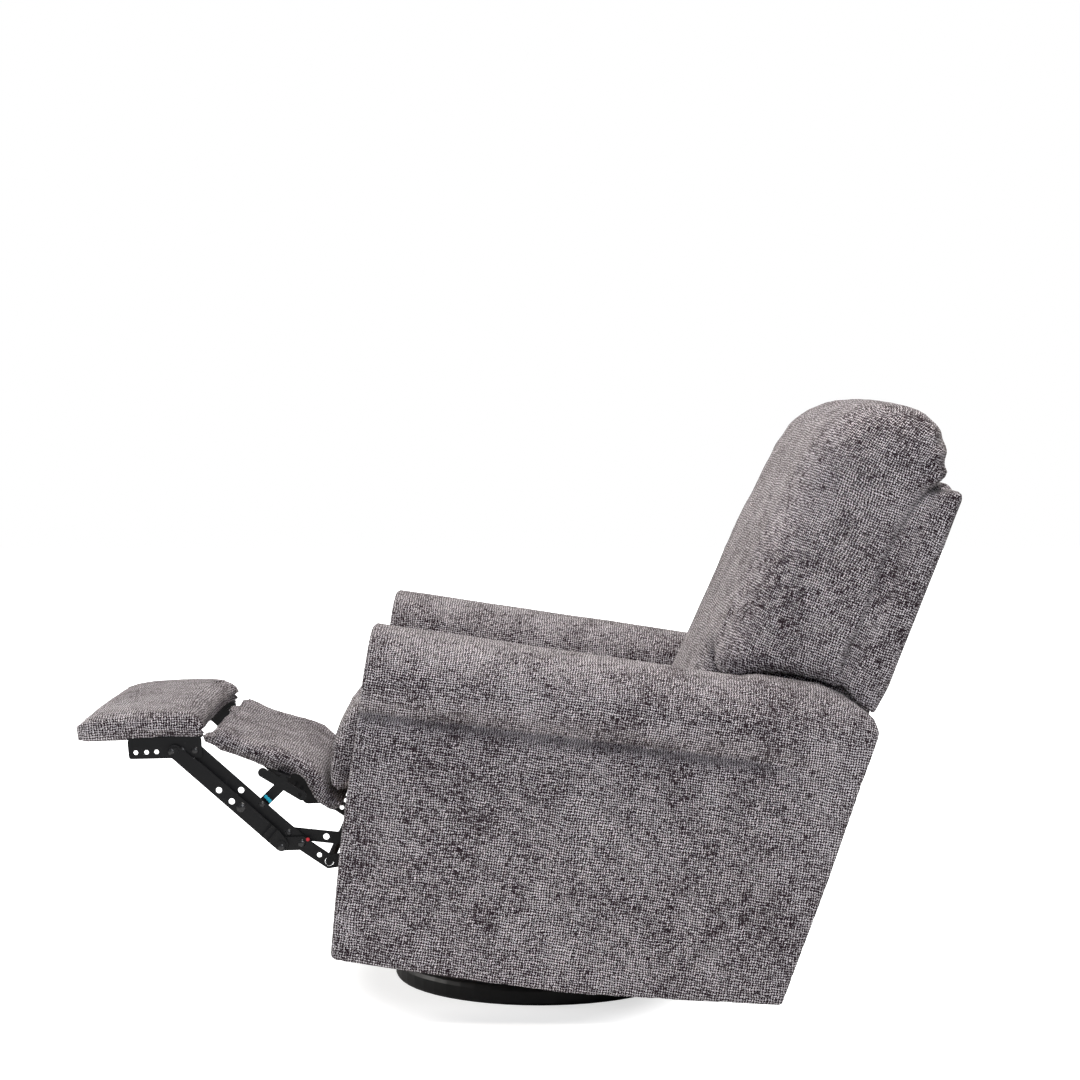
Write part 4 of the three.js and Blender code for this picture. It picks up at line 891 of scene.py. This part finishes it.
def pressed_link(name, node, body, start, end, width, ridges, widen=0.0):
    """A link as the press leaves it: ridges across it where it is joggled, and a fuller upper edge."""
    work = solid_copy(node)
    axis = np.array(end, float) - np.array(start, float)
    length = np.linalg.norm(axis)
    axis /= length
    across = np.array([-axis[1], axis[0]])
    if across[1] < 0:
        across = -across
    base = level_point(start[0], 0, start[1])
    tip = level_point(end[0], 0, end[1])
    shares = [ridge + step for ridge in ridges for step in (-0.02, -0.01, 0, 0.01, 0.02)]
    for share in sorted(shares + [0.14, 0.2, 0.5, 0.8, 0.9]):
        geometry = work.verts[:] + work.edges[:] + work.faces[:]
        bmesh.ops.bisect_plane(work, geom=geometry, plane_co=base.lerp(tip, share), plane_no=tip - base)
    piece = piece_from(name, work)
    level = to_level(points_of(piece))
    offset = level[:, [0, 2]] - np.array(start, float)
    share = offset @ axis / length
    distance = offset @ across
    window = smooth_share(share, 0.03, 0.09) * (1 - smooth_share(share, 0.84, 0.94))
    grown = window * widen * (distance > 0.8 * width)
    level[:, 0] += grown * across[0]
    level[:, 2] += grown * across[1]
    side = np.sign(level[:, 1])
    for ridge in ridges:
        level[:, 1] += side * 1.3 * bell(share, ridge, 0.009)
    move_points(piece, from_level(level))
    piece.data.polygons.foreach_set("use_smooth", [False] * len(piece.data.polygons))
    piece.data.materials.clear()
    piece.data.materials.append(finish_materials()["black steel"])
    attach(piece, body)
    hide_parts(node)


class RECLINER_OT_footrest(bpy.types.Operator):
    """Cover the foot pad and inner panel, and finish the footrest linkage"""

    bl_idname = "recliner.footrest"
    bl_label = "Footrest"

    def execute(self, context):
        padding = context.scene.recliner_padding
        pad_nodes = ["foot_pad", "footrest_board"]
        pad = padded_skin("foot_pad_cover", pad_nodes, 2, 1 * MM, padding.pressure, padding.swell / 2, kept=0.9)
        undulate(pad, 1.6 * MM, 0.07, 15.0)
        level = to_level(points_of(pad))
        lip = smooth_share(level[:, 0], PAD_HEEL - 32, PAD_HEEL) * (1 - smooth_share(level[:, 2], 384, 402))
        level[:, 0] += 9 * lip
        move_points(pad, from_level(level))
        cover(pad, "footrest", pad_nodes, PAD_LEAN)
        panel_nodes = ["inner_panel", "inner_board"]
        panel = padded_skin("inner_panel_cover", panel_nodes, 2, 0.5 * MM, padding.pressure, padding.swell / 3,
                            kept=0.9)
        undulate(panel, 2.4 * MM, 0.075, 17.0)
        level = to_level(points_of(panel))
        reach = 1 - smooth_share(level[:, 0], PANEL_FRONT - 2, PANEL_FRONT + 45)
        crown = 1 - smooth_share(level[:, 0], PANEL_FRONT + 10, PANEL_FRONT + 70)
        top = smooth_share(level[:, 2], 352, 362)
        level[:, 1] += (np.sign(level[:, 1]) * 7 * smooth_share(np.abs(level[:, 1]), 150, 216)
                        * smooth_share(level[:, 0], PANEL_FRONT, PANEL_FRONT + 25))
        level[:, 0] -= 14 * reach
        level[:, 2] += 11 * crown * top
        level[:, 2] = np.where(level[:, 0] < PANEL_FRONT + 14,
                               np.minimum(level[:, 2], 363 + 0.15 * (level[:, 0] - PANEL_FRONT + 14)), level[:, 2])
        move_points(panel, from_level(level))
        cover(panel, "lift", panel_nodes, PANEL_LEAN)
        finish_nodes("black steel", *both("footrest_crank", "lift_link", "control_link",
                                          "footrest_bracket", "inner_bracket"), "footrest_stretcher")
        for side, _ in SIDES:
            pressed_link(f"tie_pressing_{side}", f"tie_link_{side}", "tie", (-476.4, 203.4), (-680.9, 337.7), 11.5,
                         [0.1, 0.15], widen=3.5)
        rivets("bracket_rivets", "footrest", [(-647.5, 245, 344), (-669, 245, 341), (-686, 251, 337.5)],
               6.5 * MM, 3 * MM, "rivet steel")
        rivets("crank_rivets", "crank", [(-443.4, 245, 213.2), (-476.4, 251, 203.4)], 7 * MM, 3 * MM, "rivet steel")
        rivets("tie_stud", "tie", [(-554, 251, 260)], 9 * MM, 4 * MM, "rivet steel")
        rivets("lift_rivets", "lift", [(-521, 239, 268), (-469, 239, 227)], 6 * MM, 2.5 * MM, "rivet steel")
        rivets("lift_mark", "lift", [(-516, 239, 282), (-512, 239, 279), (-508, 239, 276)], 3.2 * MM, 0.8 * MM,
               "blue mark")
        rivets("crank_mark", "crank", [(-434, 245, 221)], 3.2 * MM, 1.0 * MM, "red mark")
        return {"FINISHED"}


class RECLINER_OT_mechanism(bpy.types.Operator):
    """Finish the side plates, glider, seat box and springs"""

    bl_idname = "recliner.mechanism"
    bl_label = "Mechanism"

    def execute(self, context):
        finish_nodes("black steel", *both("recline_bracket", "mechanism_plate", "carriage_plate",
                                          "front_glide_link", "rear_glide_link", "glide_bracket"),
                     "front_cross_tube", "rear_cross_tube", "swivel_plate", "front_channel", "rear_channel")
        finish_nodes("timber", "front_rail", *both("seat_side_rail"), "seat_rear_rail", "rear_rail")
        finish_nodes("zinc plate", "release_shaft", "kingpin", "bearing_lower_race", "bearing_upper_race",
                     *[f"seat_spring_{number}" for number in (1, 2, 3, 4)])
        return {"FINISHED"}


class RECLINER_OT_base(bpy.types.Operator):
    """Finish the base ring and its spider"""

    bl_idname = "recliner.base"
    bl_label = "Base"

    def execute(self, context):
        finish_nodes("base paint", "base_ring", "base_spider")
        return {"FINISHED"}


class RECLINER_OT_release_handle(bpy.types.Operator):
    """Finish the release handle and its rosette"""

    bl_idname = "recliner.release_handle"
    bl_label = "Release Handle"

    def execute(self, context):
        finish_nodes("moulding", "handle_rosette", "release_handle")
        return {"FINISHED"}


# Studio
def area_light(name, location, target, size, power, color):
    lamp = bpy.data.lights.new(name, "AREA")
    lamp.shape = "DISK"
    lamp.size = size
    lamp.energy = power
    lamp.color = color
    light = bpy.data.objects.new(name, lamp)
    bpy.context.scene.collection.objects.link(light)
    light.location = location
    light.rotation_euler = (Vector(target) - Vector(location)).to_track_quat("-Z", "Y").to_euler()


def camera_rays(tree):
    return tree.nodes.new("ShaderNodeLightPath").outputs["Is Camera Ray"]


def room_light(settings):
    world = bpy.data.worlds.new("white room")
    bpy.context.scene.world = world
    world.use_nodes = True
    tree = world.node_tree
    tree.nodes.clear()
    white = tree.nodes.new("ShaderNodeBackground")
    white.inputs["Color"].default_value = (1, 1, 1, 1)
    room = tree.nodes.new("ShaderNodeBackground")
    room.inputs["Color"].default_value = (0.97, 0.98, 1.0, 1)
    room.inputs["Strength"].default_value = settings.daylight
    mix = tree.nodes.new("ShaderNodeMixShader")
    feed(tree, mix.inputs[0], camera_rays(tree))
    feed(tree, mix.inputs[1], room.outputs[0])
    feed(tree, mix.inputs[2], white.outputs[0])
    out = tree.nodes.new("ShaderNodeOutputWorld")
    feed(tree, out.inputs["Surface"], mix.outputs[0])


def floor_material(settings):
    material, tree, shader = material_with_shader("white floor")
    shader.inputs["Base Color"].default_value = (0.9, 0.9, 0.9, 1)
    shader.inputs["Roughness"].default_value = 1.0
    shader.inputs["Specular IOR Level"].default_value = 0.0
    glow = tree.nodes.new("ShaderNodeEmission")
    glow.inputs["Strength"].default_value = settings.glow_strength
    mix = tree.nodes.new("ShaderNodeMixShader")
    spread = tree.nodes.new("ShaderNodeVectorMath")
    spread.operation = "LENGTH"
    feed(tree, spread.inputs[0], stretched(tree, place_of(tree), (1.5, 1.0, 1.0)))
    share = ramp(tree, spread.outputs["Value"], 0.36, 0.72, settings.glow, 1.0)
    feed(tree, mix.inputs[0], calc(tree, "MULTIPLY", camera_rays(tree), share))
    feed(tree, mix.inputs[1], shader.outputs[0])
    feed(tree, mix.inputs[2], glow.outputs[0])
    feed(tree, tree.nodes["Material Output"].inputs["Surface"], mix.outputs[0])
    return material


class RECLINER_OT_studio(bpy.types.Operator):
    """Set up the camera, the white floor and the lights"""

    bl_idname = "recliner.studio"
    bl_label = "Studio"

    def execute(self, context):
        settings = context.scene.recliner_studio
        context.scene.view_settings.view_transform = "Standard"
        camera = bpy.data.objects.new("camera", bpy.data.cameras.new("camera"))
        camera.data.lens = settings.lens
        camera.location = (SWIVEL_X, -settings.distance, settings.height)
        camera.data.shift_y = -settings.drop
        camera.rotation_euler = (math.pi / 2, 0, 0)
        context.scene.collection.objects.link(camera)
        context.scene.camera = camera
        room_light(settings)
        area_light("key", (-4.4, 0.9, 2.4), (0, 0, 0.7), 2.0, settings.key, (1.0, 0.97, 0.93))
        area_light("top", (0.7, -0.5, 3.9), (0, 0, 0.5), 2.0, settings.top, (1.0, 0.94, 0.87))
        area_light("fill", (0.3, -3.4, 1.6), (0, 0, 0.5), 1.4, settings.fill, (0.95, 0.97, 1.0))
        work = bmesh.new()
        bmesh.ops.create_grid(work, x_segments=1, y_segments=1, size=12)
        floor = piece_from("floor", work)
        floor.data.materials.append(floor_material(settings))
        return {"FINISHED"}


PIECE_OPERATORS = (
    RECLINER_OT_studio, RECLINER_OT_arms, RECLINER_OT_seat, RECLINER_OT_back, RECLINER_OT_footrest,
    RECLINER_OT_mechanism, RECLINER_OT_base, RECLINER_OT_release_handle,
)
SETTINGS = (
    ("recliner_cloth", ClothSettings), ("recliner_padding", PaddingSettings),
    ("recliner_finish", FinishSettings), ("recliner_studio", StudioSettings),
)


class VIEW3D_PT_recliner(bpy.types.Panel):
    """The recliner's pieces and settings"""

    bl_idname = "VIEW3D_PT_recliner"
    bl_label = "Recliner"
    bl_space_type = "VIEW_3D"
    bl_region_type = "UI"
    bl_category = "Recliner"

    def draw(self, context):
        for operator in PIECE_OPERATORS:
            self.layout.operator(operator.bl_idname)
        for name, group in SETTINGS:
            box = self.layout.box()
            for key in group.__annotations__:
                box.prop(getattr(context.scene, name), key)


CLASSES = tuple(group for _, group in SETTINGS) + PIECE_OPERATORS + (VIEW3D_PT_recliner,)


def register():
    for item in CLASSES:
        bpy.utils.register_class(item)
    for name, group in SETTINGS:
        setattr(bpy.types.Scene, name, PointerProperty(type=group))


def unregister():
    for name, _ in SETTINGS:
        delattr(bpy.types.Scene, name)
    for item in reversed(CLASSES):
        bpy.utils.unregister_class(item)


def main():
    register()
    for operator in PIECE_OPERATORS:
        group, name = operator.bl_idname.split(".")
        getattr(getattr(bpy.ops, group), name)()


if __name__ == "__main__":
    main()
